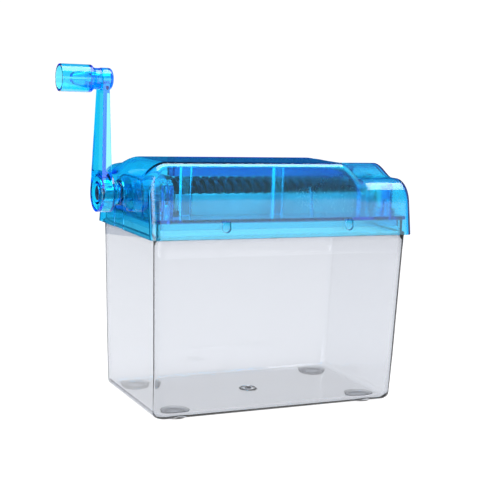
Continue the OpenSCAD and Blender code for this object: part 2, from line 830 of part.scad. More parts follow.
// Cuts the hollow behind the arm's web, between the hub and the boss
module channel_cut() {
    top = knob_z - boss_d / 2 - 1.5;
    low = shaft_z + hub_d / 2 + 1.5;
    intersection() {
        arm_outline(arm_ease + rim_t, hub_out_x, hub_in_x + cut);
        along_y(drive_y - hub_d, drive_y + hub_d) polygon([
            [outer_face(low) + web_t, low],
            [outer_face(top) + web_t, top],
            [hub_in_x + cut, top],
            [hub_in_x + cut, low]]);
    }
}

module crank_arm() {
    color([0.1, 0.65, 1, 0.7]) place() difference() {
        union() {
            round_x(drive_y, shaft_z) polygon([
                [0, hub_out_x], [hub_d / 2 - 0.6, hub_out_x], [hub_d / 2, hub_out_x + 0.6],
                [hub_d / 2, hub_out_x + hub_rim_l], [hub_neck_r, hub_in_x - 0.8],
                [hub_neck_r, hub_in_x], [0, hub_in_x]]);
            difference() {
                arm_blank();
                channel_cut();
            }
            round_x(drive_y, knob_z) polygon(concat(
                [[0, arm_top_x], [boss_d / 2, arm_top_x]],
                arc([boss_d / 2 - 2, arm_top_x + boss_l - 2], 2, 0, 90, 6),
                [[0, arm_top_x + boss_l]]));
        }
        rod_x(hub_out_x + recess_l, hub_in_x + cut, drive_y, shaft_z, shaft_d / 2 + press_gap);
        rod_x(hub_out_x - cut, hub_out_x + recess_l, drive_y, shaft_z, recess_r);
        rod_x(arm_top_x - cut, arm_top_x + boss_l - 1.5, drive_y, knob_z, spindle_r + press_gap);
    }
}

module crank_screw() {
    thread_r = screw_hole_r + 0.2;
    head_x = hub_out_x + recess_l;
    color([0.7, 0.71, 0.74]) place() difference() {
        union() {
            rod_x(head_x - 2.2, head_x, drive_y, shaft_z, recess_r - 1);
            rod_x(head_x, head_x + 8, drive_y, shaft_z, thread_r);
        }
        for (a = [0, 90])
            translate([head_x - 2.4, drive_y, shaft_z]) rotate([a, 0, 0]) translate([0, -2.2, -0.45])
                cube([1.3, 4.4, 0.9]);
    }
}

module knob_spindle() {
    head_x = knob_floor_x - 0.2;
    color([0.05, 0.4, 0.9, 0.8]) place() round_x(drive_y, knob_z) polygon([
        [0, arm_top_x + boss_l - 1.6],
        [spindle_r, arm_top_x + boss_l - 1.6],
        [spindle_r, head_x],
        [spindle_head_r, head_x],
        [spindle_head_r, head_x - 1.2],
        [spindle_tip_r, head_x - spindle_head_l],
        [0, head_x - spindle_head_l]]);
}

module crank_knob() {
    r = knob_d / 2;
    shoulder_x = knob_x - knob_neck_l;
    color([0.1, 0.65, 1, 0.7]) place() round_x(drive_y, knob_z) polygon([
        [spindle_r + run_gap, knob_x],
        [knob_neck_r, knob_x],
        [knob_neck_r, shoulder_x + 1.2],
        [r, shoulder_x - 0.6],
        [r, knob_tip_x + 0.4],
        [r - 0.4, knob_tip_x],
        [r - knob_wall, knob_tip_x],
        [r - knob_wall, knob_floor_x],
        [spindle_r + run_gap, knob_floor_x]]);
}

bin();
bumper_feet();
head_cover();
chassis_plate();
snap_tongues();
shaft_tongue();
paper_chute();
left_side_plate();
right_side_plate();
gear_cover();
front_comb();
rear_comb();
front_posts();
shaft_bushes();
crank_bush();
cover_screws();
chassis_screws();
drive_shaft();
drive_discs();
drive_spacers();
drive_gear();
drive_clip();
crank_arm();
crank_screw();
knob_spindle();
crank_knob();
driven_shaft();
driven_discs();
driven_spacers();
driven_gear();
driven_clip();
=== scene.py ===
"""Looks of a small hand-crank paper shredder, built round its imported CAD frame.

Fields and local lengths are in millimetres. Meshes are made in metres, in the row frame.
"""

import json
import logging
import math
from dataclasses import dataclass, field
from enum import Enum
from typing import Any, Sequence

import bmesh
import bpy
from mathutils import Matrix, Vector


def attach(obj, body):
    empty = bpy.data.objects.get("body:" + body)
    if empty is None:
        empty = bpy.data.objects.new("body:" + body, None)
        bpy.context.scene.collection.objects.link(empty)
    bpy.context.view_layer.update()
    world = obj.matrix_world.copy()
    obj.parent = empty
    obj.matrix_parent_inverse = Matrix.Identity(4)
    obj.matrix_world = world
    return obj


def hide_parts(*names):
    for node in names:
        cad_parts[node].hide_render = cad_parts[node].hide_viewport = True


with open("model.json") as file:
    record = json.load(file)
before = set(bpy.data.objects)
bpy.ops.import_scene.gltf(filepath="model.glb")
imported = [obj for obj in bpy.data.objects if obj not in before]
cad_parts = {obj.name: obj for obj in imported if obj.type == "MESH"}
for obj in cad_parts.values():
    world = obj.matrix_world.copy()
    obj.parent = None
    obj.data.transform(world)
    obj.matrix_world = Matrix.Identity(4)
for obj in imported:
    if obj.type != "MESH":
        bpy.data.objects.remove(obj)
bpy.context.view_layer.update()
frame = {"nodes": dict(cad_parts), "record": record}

log = logging.getLogger("shredder")
MM = 0.001
Point = tuple[float, float, float]
Flat = tuple[float, float]


# --- Shader expressions ---------------------------------------------------------------


class Sock:
    """An output socket that Python arithmetic extends with Math nodes."""

    def __init__(self, graph: "Graph", socket: bpy.types.NodeSocket) -> None:
        """Keeps the graph and the socket that the expression stands for."""
        self.graph = graph
        self.socket = socket

    def _math(self, operation: str, a: Any, b: Any = 0.0) -> "Sock":
        """Adds one Math node."""
        return self.graph.node("ShaderNodeMath", {"operation": operation}, {0: a, 1: b})

    def __add__(self, other: Any) -> "Sock":
        """Sum."""
        return self._math("ADD", self, other)

    __radd__ = __add__

    def __sub__(self, other: Any) -> "Sock":
        """Difference."""
        return self._math("SUBTRACT", self, other)

    def __rsub__(self, other: Any) -> "Sock":
        """Reflected difference."""
        return self._math("SUBTRACT", other, self)

    def __mul__(self, other: Any) -> "Sock":
        """Product."""
        return self._math("MULTIPLY", self, other)

    __rmul__ = __mul__

    def __truediv__(self, other: Any) -> "Sock":
        """Quotient."""
        return self._math("DIVIDE", self, other)

    def __pow__(self, other: Any) -> "Sock":
        """Power."""
        return self._math("POWER", self, other)

    def sine(self) -> "Sock":
        """Sine of the value."""
        return self._math("SINE", self)

    def root(self) -> "Sock":
        """Square root of the value."""
        return self._math("SQRT", self)

    def between(self, low: float, high: float) -> "Sock":
        """Eases from 0 at low to 1 at high.

        Args:
            low: Value that gives 0.
            high: Value that gives 1.

        Returns:
            The eased value.
        """
        settings = {"interpolation_type": "SMOOTHSTEP"}
        inputs = {"Value": self, "From Min": low, "From Max": high}
        return self.graph.node("ShaderNodeMapRange", settings, inputs)


class Graph:
    """The node tree of one material, built by expressions."""

    def __init__(self, name: str) -> None:
        """Makes an empty material with its output.

        Args:
            name: Name of the material.
        """
        self.material = bpy.data.materials.new(name)
        self.material.use_nodes = True
        self.tree = self.material.node_tree
        self.tree.nodes.clear()
        self.output = self.tree.nodes.new("ShaderNodeOutputMaterial")

    def node(
        self,
        kind: str,
        settings: dict[str, Any] | None = None,
        inputs: dict[Any, Any] | None = None,
        out: Any = 0,
    ) -> Sock:
        """Adds a node, sets it up, then fills its sockets.

        Args:
            kind: The node's type.
            settings: Properties, set first; "stops" holds a colour ramp's positions and colours.
            inputs: Values or links by socket name or number.
            out: Name or number of the output to return.

        Returns:
            The chosen output.
        """
        made = self.tree.nodes.new(kind)
        for key, value in (settings or {}).items():
            if key == "stops":
                self._set_stops(made, value)
            else:
                setattr(made, key, value)
        for key, value in (inputs or {}).items():
            if isinstance(value, Sock):
                self.tree.links.new(value.socket, made.inputs[key])
            else:
                made.inputs[key].default_value = value
        return Sock(self, made.outputs[out])

    @staticmethod
    def _set_stops(ramp: bpy.types.Node, stops: Sequence[tuple[float, tuple]]) -> None:
        """Gives a colour ramp its stops."""
        elements = ramp.color_ramp.elements
        while len(elements) < len(stops):
            elements.new(0.5)
        for element, (position, colour) in zip(elements, stops):
            element.position = position
            element.color = colour

    def place(self, scale: Point = (1, 1, 1), centre: Point = (0, 0, 0)) -> Sock:
        """Object coordinates about a centre, stretched.

        Args:
            scale: Stretch on each axis.
            centre: Point of the row frame in metres that becomes the origin.

        Returns:
            The vector.
        """
        coordinates = self.node("ShaderNodeTexCoord", out="Object")
        shift = tuple(-c * s for c, s in zip(centre, scale))
        return self.node("ShaderNodeMapping", {}, {"Vector": coordinates, "Location": shift, "Scale": scale})

    def noise(self, scale: float, detail: float = 3.0, where: Sock | None = None) -> Sock:
        """Noise from 0 to 1.

        Args:
            scale: Spots in a metre.
            detail: Octaves.
            where: Coordinates, or the piece's own.

        Returns:
            The noise value.
        """
        inputs = {"Vector": where or self.place(), "Scale": scale, "Detail": detail}
        return self.node("ShaderNodeTexNoise", {}, inputs, "Fac")

    def mix(self, share: Any, a: tuple, b: tuple) -> Sock:
        """Mixes two colours by a share."""
        return self.node("ShaderNodeMix", {"data_type": "RGBA"}, {0: share, 6: (*a, 1), 7: (*b, 1)}, 2)

    def bump(self, height: Sock, depth: float, strength: float = 1.0) -> Sock:
        """Turns a height from 0 to 1 into a normal.

        Args:
            height: Height share.
            depth: Height in metres at 1.
            strength: How much of the effect shows.

        Returns:
            The normal.
        """
        return self.node("ShaderNodeBump", {}, {"Height": height, "Distance": depth, "Strength": strength})

    def surface(self, inputs: dict[str, Any]) -> Sock:
        """Adds the Principled shader and joins it to the output.

        Args:
            inputs: Values or links of its sockets.

        Returns:
            The shader's output.
        """
        shader = self.node("ShaderNodeBsdfPrincipled", {}, inputs)
        self.tree.links.new(shader.socket, self.output.inputs["Surface"])
        return shader

    def inside(self, absorbed: Point) -> None:
        """Fills the piece with tinted plastic.

        Args:
            absorbed: Absorption of red, green and blue for each metre.
        """
        density = max(absorbed)
        colour = tuple(1 - a / density for a in absorbed)
        volume = self.node("ShaderNodeVolumeAbsorption", {}, {"Color": (*colour, 1), "Density": density})
        self.tree.links.new(volume.socket, self.output.inputs["Volume"])


# --- Finishes -------------------------------------------------------------------------


@dataclass(frozen=True)
class ClearPlastic:
    """Glossy see-through plastic, coloured by its thickness."""

    name: str
    absorbed: Point
    index: float = 1.5
    gloss: float = 0.03
    smudge: float = 0.05
    ripple: float = 0.00004
    texture: float = 0.0

    def make(self) -> bpy.types.Material:
        """Builds the material, with faint handling smudges and moulding ripple."""
        g = Graph(self.name)
        cloud = g.noise(38, 4)
        fine = g.noise(900, 2)
        rough = self.gloss + self.smudge * cloud.between(0.52, 0.8) * (0.6 + 0.4 * fine)
        if self.texture > 0:
            etched = g.node("ShaderNodeAttribute", {"attribute_name": "fine_texture"}, out="Fac")
            rough = rough + etched * (self.texture * 0.8 + self.texture * 0.4 * fine)
        flow = g.noise(24, 1, g.place((1, 1, 0.35)))
        g.surface(
            {
                "Base Color": (1, 1, 1, 1),
                "Roughness": rough,
                "IOR": self.index,
                "Transmission Weight": 1.0,
                "Normal": g.bump(flow, self.ripple),
            }
        )
        g.inside(self.absorbed)
        return g.material


@dataclass(frozen=True)
class TurnedSteel:
    """Steel turned and ground round an axis along X."""

    name: str
    colour: Point
    axis: Flat
    rough: float = 0.32
    ring_pitch: float = 0.35
    grime: float = 0.5

    def make(self) -> bpy.types.Material:
        """Builds the material, with grinding rings, fine scratches and a film of oil."""
        g = Graph(self.name)
        centre = (0.0, self.axis[0] * MM, self.axis[1] * MM)
        place = g.node("ShaderNodeSeparateXYZ", {}, {0: g.place((1, 1, 1), centre)})
        y = Sock(g, place.socket.node.outputs[1])
        z = Sock(g, place.socket.node.outputs[2])
        radius = (y * y + z * z).root()
        uneven = g.noise(160, 3)
        rings = (radius * (2 * math.pi / (self.ring_pitch * MM)) + 9 * uneven).sine() * 0.5 + 0.5
        scratch = g.noise(1, 3, g.place((4200, 300, 300)))
        film = g.noise(90, 4).between(0.45, 0.72)
        dark = tuple(c * (1 - 0.6 * self.grime) for c in self.colour)
        g.surface(
            {
                "Base Color": g.mix(film * self.grime + 0.25 * scratch, self.colour, dark),
                "Metallic": 1.0,
                "Roughness": self.rough + 0.14 * film + 0.1 * scratch,
                "Normal": g.bump(0.6 * rings + 0.4 * scratch, 0.000012),
            }
        )
        return g.material


@dataclass(frozen=True)
class SheetSteel:
    """Plated sheet steel with a rolled grain along X."""

    name: str
    colour: Point
    rough: float = 0.38

    def make(self) -> bpy.types.Material:
        """Builds the material, with a rolled grain and faint stains."""
        g = Graph(self.name)
        grain = g.noise(1, 4, g.place((120, 3600, 3600)))
        stain = g.noise(55, 5).between(0.5, 0.75)
        dark = tuple(c * 0.72 for c in self.colour)
        g.surface(
            {
                "Base Color": g.mix(0.55 * stain + 0.2 * grain, self.colour, dark),
                "Metallic": 1.0,
                "Roughness": self.rough + 0.16 * stain + 0.08 * grain,
                "Normal": g.bump(grain, 0.000015),
            }
        )
        return g.material


@dataclass(frozen=True)
class MouldedPlastic:
    """Opaque moulded plastic with a fine skin."""

    name: str
    colour: Point
    shade: Point
    rough: float = 0.42
    skin: float = 0.00002
    soft: float = 0.0

    def make(self) -> bpy.types.Material:
        """Builds the material, with a fine moulded grain and slight colour clouds."""
        g = Graph(self.name)
        grain = g.noise(2600, 3)
        cloud = g.noise(70, 4).between(0.4, 0.75)
        g.surface(
            {
                "Base Color": g.mix(cloud, self.colour, self.shade),
                "Roughness": self.rough + 0.12 * cloud,
                "Transmission Weight": self.soft,
                "Normal": g.bump(grain, self.skin),
            }
        )
        return g.material


@dataclass(frozen=True)
class LitFloor:
    """A pale acrylic table lit evenly from below."""

    name: str
    glow: float = 1.0
    pale: float = 0.12

    def make(self) -> bpy.types.Material:
        """Builds the material, with a barely uneven satin face."""
        g = Graph(self.name)
        cloud = g.noise(3, 2)
        g.surface(
            {
                "Base Color": g.mix(cloud, (self.pale,) * 3, (self.pale * 0.98,) * 3),
                "Roughness": 0.55 + 0.1 * cloud,
                "Emission Color": (1, 1, 1, 1),
                "Emission Strength": self.glow,
            }
        )
        return g.material


class Finish(Enum):
    """Every finish of the object."""

    BIN = ClearPlastic("clear_bin_plastic", (112.0, 106.0, 92.0), 1.5, 0.015, 0.04)
    COVER = ClearPlastic("blue_cover_plastic", (920.0, 122.0, 4.0), 1.52, 0.03, 0.06, texture=0.23)
    CHASSIS = ClearPlastic("blue_chassis_plastic", (650.0, 120.0, 12.0), 1.52, 0.05, 0.08)
    INNER = ClearPlastic("blue_inner_plastic", (240.0, 28.0, 2.0), 1.52, 0.06, 0.08)
    HOUSING = ClearPlastic("blue_housing_plastic", (600.0, 150.0, 22.0), 1.52, 0.06, 0.08)
    CHUTE = ClearPlastic("blue_chute_plastic", (1500.0, 480.0, 100.0), 1.52, 0.2, 0.1)
    CRANK = ClearPlastic("blue_crank_plastic", (900.0, 88.0, 4.0), 1.52, 0.03, 0.05)
    KNOB = ClearPlastic("blue_knob_plastic", (1300.0, 150.0, 6.0), 1.52, 0.03, 0.05)
    # Grey absorption raised so the bumpers' middles read dark: partly the gel's own grey, partly painted
    # shade for their dark refraction.
    BUMPER = ClearPlastic("bumper_gel", (760.0, 710.0, 600.0), 1.46, 0.04, 0.08, 0.00006)
    # Near-black ring under each bumper: painted shade for the dark edge seen round the bumpers.
    SEAT = MouldedPlastic("adhesive_ring", (0.012, 0.013, 0.02), (0.02, 0.022, 0.03), 0.5)
    # Near-black navy roller steel: partly the cutters' dark steel, partly painted shade for the dark band
    # they sit in under the hood.
    DRIVE_STEEL = TurnedSteel("drive_roller_steel", (0.012, 0.018, 0.036), (8.5, 128.8))
    DRIVEN_STEEL = TurnedSteel("driven_roller_steel", (0.012, 0.018, 0.036), (-9.5, 128.8))
    SHAFT_STEEL = TurnedSteel("shaft_steel", (0.07, 0.07, 0.085), (8.5, 128.8), 0.34, 0.5, 0.4)
    COMB_STEEL = MouldedPlastic("comb_coating", (0.72, 0.75, 0.8), (0.62, 0.66, 0.72), 0.45)
    CLIP_STEEL = SheetSteel("clip_steel", (0.14, 0.14, 0.16), 0.34)
    BLUED_STEEL = SheetSteel("blued_screw_steel", (0.02, 0.045, 0.12), 0.42)
    SCREW_STEEL = SheetSteel("screw_steel", (0.62, 0.63, 0.65), 0.26)
    BRASS = TurnedSteel("bush_brass", (0.72, 0.52, 0.22), (8.5, 128.8), 0.3, 0.4, 0.35)
    GEAR = MouldedPlastic("gear_acetal", (0.86, 0.86, 0.82), (0.74, 0.73, 0.67), 0.4)
    FLOOR = LitFloor("studio_floor")
    BACKDROP = LitFloor("studio_backdrop", 1.03, 0.0)

    @property
    def material(self) -> bpy.types.Material:
        """The material, made at its first use."""
        found = bpy.data.materials.get(self.value.name)
        return found or self.value.make()


# --- Mesh building --------------------------------------------------------------------


def arc(centre: Flat, radius: float, start: float, end: float, steps: int) -> list[Flat]:
    """Points along an arc, both ends included.

    Args:
        centre: Centre of the arc.
        radius: Radius.
        start: First angle in degrees.
        end: Last angle in degrees.
        steps: Number of chords.

    Returns:
        The points in order.
    """
    angles = [math.radians(start + (end - start) * i / steps) for i in range(steps + 1)]
    return [(centre[0] + radius * math.cos(a), centre[1] + radius * math.sin(a)) for a in angles]


def filleted(corners: Sequence[Point], closed: bool = False, steps: int = 5) -> list[Flat]:
    """A polyline whose corners are rounded.

    Args:
        corners: First coordinate, second coordinate and fillet radius of each corner.
        closed: Whether the last corner joins the first.
        steps: Chords in each fillet.

    Returns:
        The points of the rounded line.
    """
    line: list[Flat] = []
    count = len(corners)
    for i, (u, v, radius) in enumerate(corners):
        here = Vector((u, v))
        if radius <= 0 or (not closed and i in (0, count - 1)):
            line.append((u, v))
            continue
        before = (Vector(corners[i - 1][:2]) - here).normalized()
        after = (Vector(corners[(i + 1) % count][:2]) - here).normalized()
        half = before.angle(after) / 2
        reach = radius / math.tan(half)
        middle = here + (before + after).normalized() * (radius / math.sin(half))
        first = here + before * reach - middle
        turn = first.angle_signed(here + after * reach - middle)
        for k in range(steps + 1):
            spoke = Matrix.Rotation(-turn * k / steps, 2) @ first
            line.append(tuple(middle + spoke))
    return line


def rounded_ring(half_x: float, half_y: float, radius: float, steps: int) -> list[Flat]:
    """A rectangle with round corners, anticlockwise.

    Args:
        half_x: Half its length.
        half_y: Half its width.
        radius: Radius of a corner.
        steps: Chords in a corner.

    Returns:
        The points in order.
    """
    ring: list[Flat] = []
    for quarter, (sx, sy) in enumerate([(1, 1), (-1, 1), (-1, -1), (1, -1)]):
        centre = (sx * (half_x - radius), sy * (half_y - radius))
        ring += arc(centre, radius, 90 * quarter, 90 * quarter + 90, steps)
    return ring


def round_ring(radius: float, steps: int) -> list[Flat]:
    """A circle whose points match those of rounded_ring."""
    count = 4 * (steps + 1)
    angles = [2 * math.pi * (i + 0.5) / count for i in range(count)]
    return [(radius * math.cos(a), radius * math.sin(a)) for a in angles]


@dataclass
class Skin:
    """Points and faces in millimetres that become one mesh."""

    points: list[Point] = field(default_factory=list)
    faces: list[tuple[int, ...]] = field(default_factory=list)

    def loft(self, rings: Sequence[Sequence[Point]], wrap: bool = False, caps: bool = True) -> "Skin":
        """Joins closed rings of equal length.

        Args:
            rings: The rings in order.
            wrap: Whether the last ring joins the first.
            caps: Whether the end rings are closed with a face.

        Returns:
            The skin itself.
        """
        base = len(self.points)
        count = len(rings[0])
        for ring in rings:
            self.points += [tuple(p) for p in ring]
        for k in range(len(rings) if wrap else len(rings) - 1):
            a = base + k * count
            b = base + (k + 1) % len(rings) * count
            for i in range(count):
                j = (i + 1) % count
                self.faces.append((a + i, a + j, b + j, b + i))
        if caps and not wrap:
            last = base + (len(rings) - 1) * count
            self.faces.append(tuple(range(base + count - 1, base - 1, -1)))
            self.faces.append(tuple(range(last, last + count)))
        return self

    def turned(
        self, profile: Sequence[Flat], y: float, z: float, sides: int = 72, hollow: bool = False
    ) -> "Skin":
        """Turns a profile round a line along X.

        Args:
            profile: Place along X and radius of each point.
            y: The line's place.
            z: The line's height.
            sides: Points on each circle.
            hollow: Whether the profile is a closed loop round a bore.

        Returns:
            The skin itself.
        """
        spokes = [(math.cos(t), math.sin(t)) for t in (2 * math.pi * i / sides for i in range(sides))]
        rings = [[(x, y + r * c, z + r * s) for c, s in spokes] for x, r in profile if r > 0]
        return self.loft(rings, wrap=hollow)

    def raised(self, profile: Sequence[Flat], x: float, y: float, sides: int = 56) -> "Skin":
        """Turns a profile of radius and height round an upright line."""
        spokes = [(math.cos(t), math.sin(t)) for t in (2 * math.pi * i / sides for i in range(sides))]
        return self.loft([[(x + r * c, y + r * s, z) for c, s in spokes] for r, z in profile if r > 0])

    def prism(self, outline: Sequence[Flat], low: float, high: float, along: str = "z") -> "Skin":
        """Pushes a flat outline along an axis.

        Args:
            outline: The outline in the two other axes, in the order x, y, z.
            low: Start on the axis.
            high: End on the axis.
            along: The axis.

        Returns:
            The skin itself.
        """
        order = {
            "x": lambda u, v, w: (w, u, v),
            "y": lambda u, v, w: (u, w, v),
            "z": lambda u, v, w: (u, v, w),
        }
        return self.loft([[order[along](u, v, w) for u, v in outline] for w in (low, high)])

    def mesh(self, name: str) -> bpy.types.Mesh:
        """Makes the mesh in metres, with its faces outward."""
        mesh = bpy.data.meshes.new(name)
        mesh.from_pydata([Vector(p) * MM for p in self.points], [], self.faces)
        return outward(mesh)

    def piece(self, name: str, finish: Finish, sharp: float = 32.0) -> bpy.types.Object:
        """Makes a smooth-shaded object of the skin."""
        return shaded(linked(name, self.mesh(name)), finish, sharp)


def outward(mesh: bpy.types.Mesh) -> bpy.types.Mesh:
    """Merges doubles and turns every face outward."""
    bm = bmesh.new()
    bm.from_mesh(mesh)
    bmesh.ops.remove_doubles(bm, verts=bm.verts, dist=1e-6)
    bmesh.ops.recalc_face_normals(bm, faces=bm.faces)
    bm.to_mesh(mesh)
    bm.free()
    return mesh


def linked(name: str, mesh: bpy.types.Mesh) -> bpy.types.Object:
    """Puts a mesh in the scene as an object at the origin."""
    made = bpy.data.objects.new(name, mesh)
    bpy.context.scene.collection.objects.link(made)
    return made


def settle(piece: bpy.types.Object) -> bpy.types.Object:
    """Makes the result of the modifiers the piece's own mesh."""
    bpy.context.view_layer.update()
    evaluated = piece.evaluated_get(bpy.context.evaluated_depsgraph_get())
    mesh = bpy.data.meshes.new_from_object(evaluated)
    mesh.name = piece.name
    piece.modifiers.clear()
    piece.data = mesh
    return piece


def shaded(piece: bpy.types.Object, finish: Finish, sharp: float = 32.0) -> bpy.types.Object:
    """Gives a piece its finish and smooth shading that respects its edges.

    Args:
        piece: The object.
        finish: Its finish.
        sharp: Angle in degrees above which an edge stays crisp.

    Returns:
        The same object.
    """
    mesh = piece.data
    mesh.shade_smooth()
    mesh.set_sharp_from_angle(angle=math.radians(sharp))
    weights = piece.modifiers.new("even_shading", "WEIGHTED_NORMAL")
    weights.keep_sharp = True
    settle(piece)
    piece.data.materials.clear()
    piece.data.materials.append(finish.material)
    return piece


def cut(piece: bpy.types.Object, tool: Skin, joined: bool = False) -> None:
    """Cuts a tool out of a piece, or joins it on.

    Args:
        piece: The object to change.
        tool: The shape that is removed or added.
        joined: Whether the tool is joined on.
    """
    cutter = linked("cutter", tool.mesh("cutter"))
    boolean = piece.modifiers.new("cut", "BOOLEAN")
    boolean.operation = "UNION" if joined else "DIFFERENCE"
    boolean.solver = "EXACT"
    boolean.object = cutter
    settle(piece)
    bpy.data.objects.remove(cutter)


def softened(
    node: str, name: str, finish: Finish, edge: float = 0.3, steps: int = 2, hollows: Sequence[Skin] = ()
) -> bpy.types.Object:
    """A copy of a CAD solid with eased edges, standing for it.

    Args:
        node: The CAD node.
        name: Name of the new piece.
        finish: Its finish.
        edge: Width of the eased edge.
        steps: Facets across it.
        hollows: Shapes cut out of it first.

    Returns:
        The new piece, riding on the node's body.
    """
    mesh = frame["nodes"][node].data.copy()
    mesh.name = name
    bm = bmesh.new()
    bm.from_mesh(mesh)
    bmesh.ops.remove_doubles(bm, verts=bm.verts, dist=2e-6)
    bmesh.ops.dissolve_limit(bm, angle_limit=math.radians(0.6), verts=bm.verts, edges=bm.edges)
    bm.to_mesh(mesh)
    bm.free()
    for attribute in ("custom_normal", "sharp_face", "sharp_edge"):
        if attribute in mesh.attributes:
            mesh.attributes.remove(mesh.attributes[attribute])
    piece = linked(name, mesh)
    for hollow in hollows:
        cut(piece, hollow)
    bevel = piece.modifiers.new("eased_edges", "BEVEL")
    bevel.width = edge * MM
    bevel.segments = steps
    bevel.limit_method = "ANGLE"
    bevel.angle_limit = math.radians(38)
    settle(piece)
    return standing(shaded(piece, finish, 40), node)


def standing(piece: bpy.types.Object, *nodes: str) -> bpy.types.Object:
    """Rides a piece on the body of the CAD nodes it stands for, and hides those nodes.

    Args:
        piece: The new piece.
        nodes: The CAD nodes it replaces.

    Returns:
        The same piece.
    """
    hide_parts(*nodes)
    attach(piece, BODY[nodes[0]])
    log.info("%s stands for %s, %d faces", piece.name, ", ".join(nodes), len(piece.data.polygons))
    return piece


def node_places() -> tuple[dict[str, str], dict[str, str]]:
    """Reads each node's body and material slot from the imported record."""
    record = frame["record"]
    bodies = {n: body for body, names in record["behaviour"]["bodies"].items() for n in names}
    slots = {entry["node"]: entry["material_slot"] for entry in record["subparts"]}
    return bodies, slots


BODY, SLOT = node_places()


# --- Studio ---------------------------------------------------------------------------


@dataclass
class Studio:
    """Pale floor, soft light and the camera."""

    eye: Point = (-0.2930, -0.6445, 0.1966)
    right: Point = (0.9029, -0.4283, 0.0378)
    up: Point = (0.0277, 0.1456, 0.9890)
    ahead: Point = (0.4290, 0.8919, -0.1433)
    lens: float = 83.0
    table_r: float = 740.0
    room_r: float = 5900.0

    def build(self) -> None:
        """Sets the camera, the floor, the sky and the lamps."""
        self._camera()
        self._floor()
        self._sky()
        self._lamp("top_softbox", (0.1, -0.1, 1.0), (0.1, -0.05, 0.1), (1.4, 0.75), 22.0)
        self._lamp("left_softbox", (-0.95, -0.42, 0.32), (0.0, 0.0, 0.12), (0.8, 0.6), 8.0)
        self._lamp("front_softbox", (0.58, -1.15, 0.205), (0.58, 0.0, 0.205), (0.9, 0.37), 1.9)
        scene = bpy.context.scene
        scene.view_settings.view_transform = "Standard"
        scene.cycles.use_denoising = True
        scene.cycles.max_bounces = 24
        scene.cycles.transmission_bounces = 24
        scene.cycles.glossy_bounces = 8
        scene.cycles.diffuse_bounces = 5

    def _camera(self) -> None:
        """Places the camera."""
        data = bpy.data.cameras.new("camera")
        data.lens = self.lens
        data.sensor_width = 36.0
        data.clip_start = 0.01
        camera = bpy.data.objects.new("camera", data)
        columns = (self.right, self.up, tuple(-v for v in self.ahead), self.eye)
        camera.matrix_world = Matrix([[c[i] for c in columns] for i in range(3)] + [[0, 0, 0, 1]])
        bpy.context.scene.collection.objects.link(camera)
        bpy.context.scene.camera = camera

    def _floor(self) -> None:
        """Lays the pale table, its rim and the bright tent over it."""
        middle = self._circle(self.table_r, 0.0)
        rim = [middle, self._circle(self.room_r, 0.0)]
        table = linked("floor", Skin(list(middle), [tuple(range(len(middle)))]).mesh("floor"))
        outer = linked("floor_rim", Skin().loft(rim, caps=False).mesh("floor_rim"))
        for part in (table, outer):
            part.data.materials.append(Finish.FLOOR.material)
        outer.visible_glossy = False
        angles = [math.radians(a) for a in (0, 8, 20, 35, 50, 65, 78, 89)]
        rows = [(self.room_r * math.cos(a), self.room_r * math.sin(a) - 20) for a in angles]
        tent = Skin().raised(rows, 0, 0, 64).piece("light_tent", Finish.BACKDROP)
        tent.visible_glossy = False
        tent.visible_diffuse = False
        tent.visible_shadow = False

    @staticmethod
    def _circle(radius: float, z: float, sides: int = 96) -> list[Point]:
        """A level circle round the origin, in millimetres."""
        angles = [math.tau * i / sides for i in range(sides)]
        return [(radius * math.cos(a), radius * math.sin(a), z) for a in angles]

    @staticmethod
    def _sky() -> None:
        """Makes the room that shows in reflections: pale low in front, dim above, dim blue behind."""
        world = bpy.data.worlds.new("room")
        world.use_nodes = True
        bpy.context.scene.world = world
        tree = world.node_tree
        where = tree.nodes.new("ShaderNodeTexCoord")
        parts = tree.nodes.new("ShaderNodeSeparateXYZ")
        tree.links.new(where.outputs["Generated"], parts.inputs[0])
        colour: Any = (0.55, 0.58, 0.6, 1.0)
        dim_above = ("Z", 0.12, 0.3, (0.4, 0.43, 0.47, 1.0))
        blue_behind = ("Y", 0.25, 0.8, (0.012, 0.09, 0.24, 1.0))
        for axis, low, high, far in (dim_above, blue_behind):
            share = tree.nodes.new("ShaderNodeMapRange")
            share.interpolation_type = "SMOOTHSTEP"
            share.inputs["From Min"].default_value = low
            share.inputs["From Max"].default_value = high
            tree.links.new(parts.outputs[axis], share.inputs["Value"])
            blend = tree.nodes.new("ShaderNodeMix")
            blend.data_type = "RGBA"
            if isinstance(colour, tuple):
                blend.inputs[6].default_value = colour
            else:
                tree.links.new(colour, blend.inputs[6])
            blend.inputs[7].default_value = far
            tree.links.new(share.outputs["Result"], blend.inputs[0])
            colour = blend.outputs[2]
        tree.links.new(colour, tree.nodes["Background"].inputs["Color"])

    @staticmethod
    def _lamp(name: str, place: Point, target: Point, size: Flat, power: float) -> None:
        """Hangs one soft box.

        Args:
            name: Name of the lamp.
            place: Where it hangs, in metres.
            target: What it points at.
            size: Its two sides in metres.
            power: Watts.
        """
        data = bpy.data.lights.new(name, "AREA")
        data.shape = "RECTANGLE"
        data.size, data.size_y = size
        data.energy = power
        lamp = bpy.data.objects.new(name, data)
        way = Vector(target) - Vector(place)
        lamp.matrix_world = Matrix.Translation(place) @ way.to_track_quat("-Z", "Y").to_matrix().to_4x4()
        bpy.context.scene.collection.objects.link(lamp)


# --- Bin ------------------------------------------------------------------------------


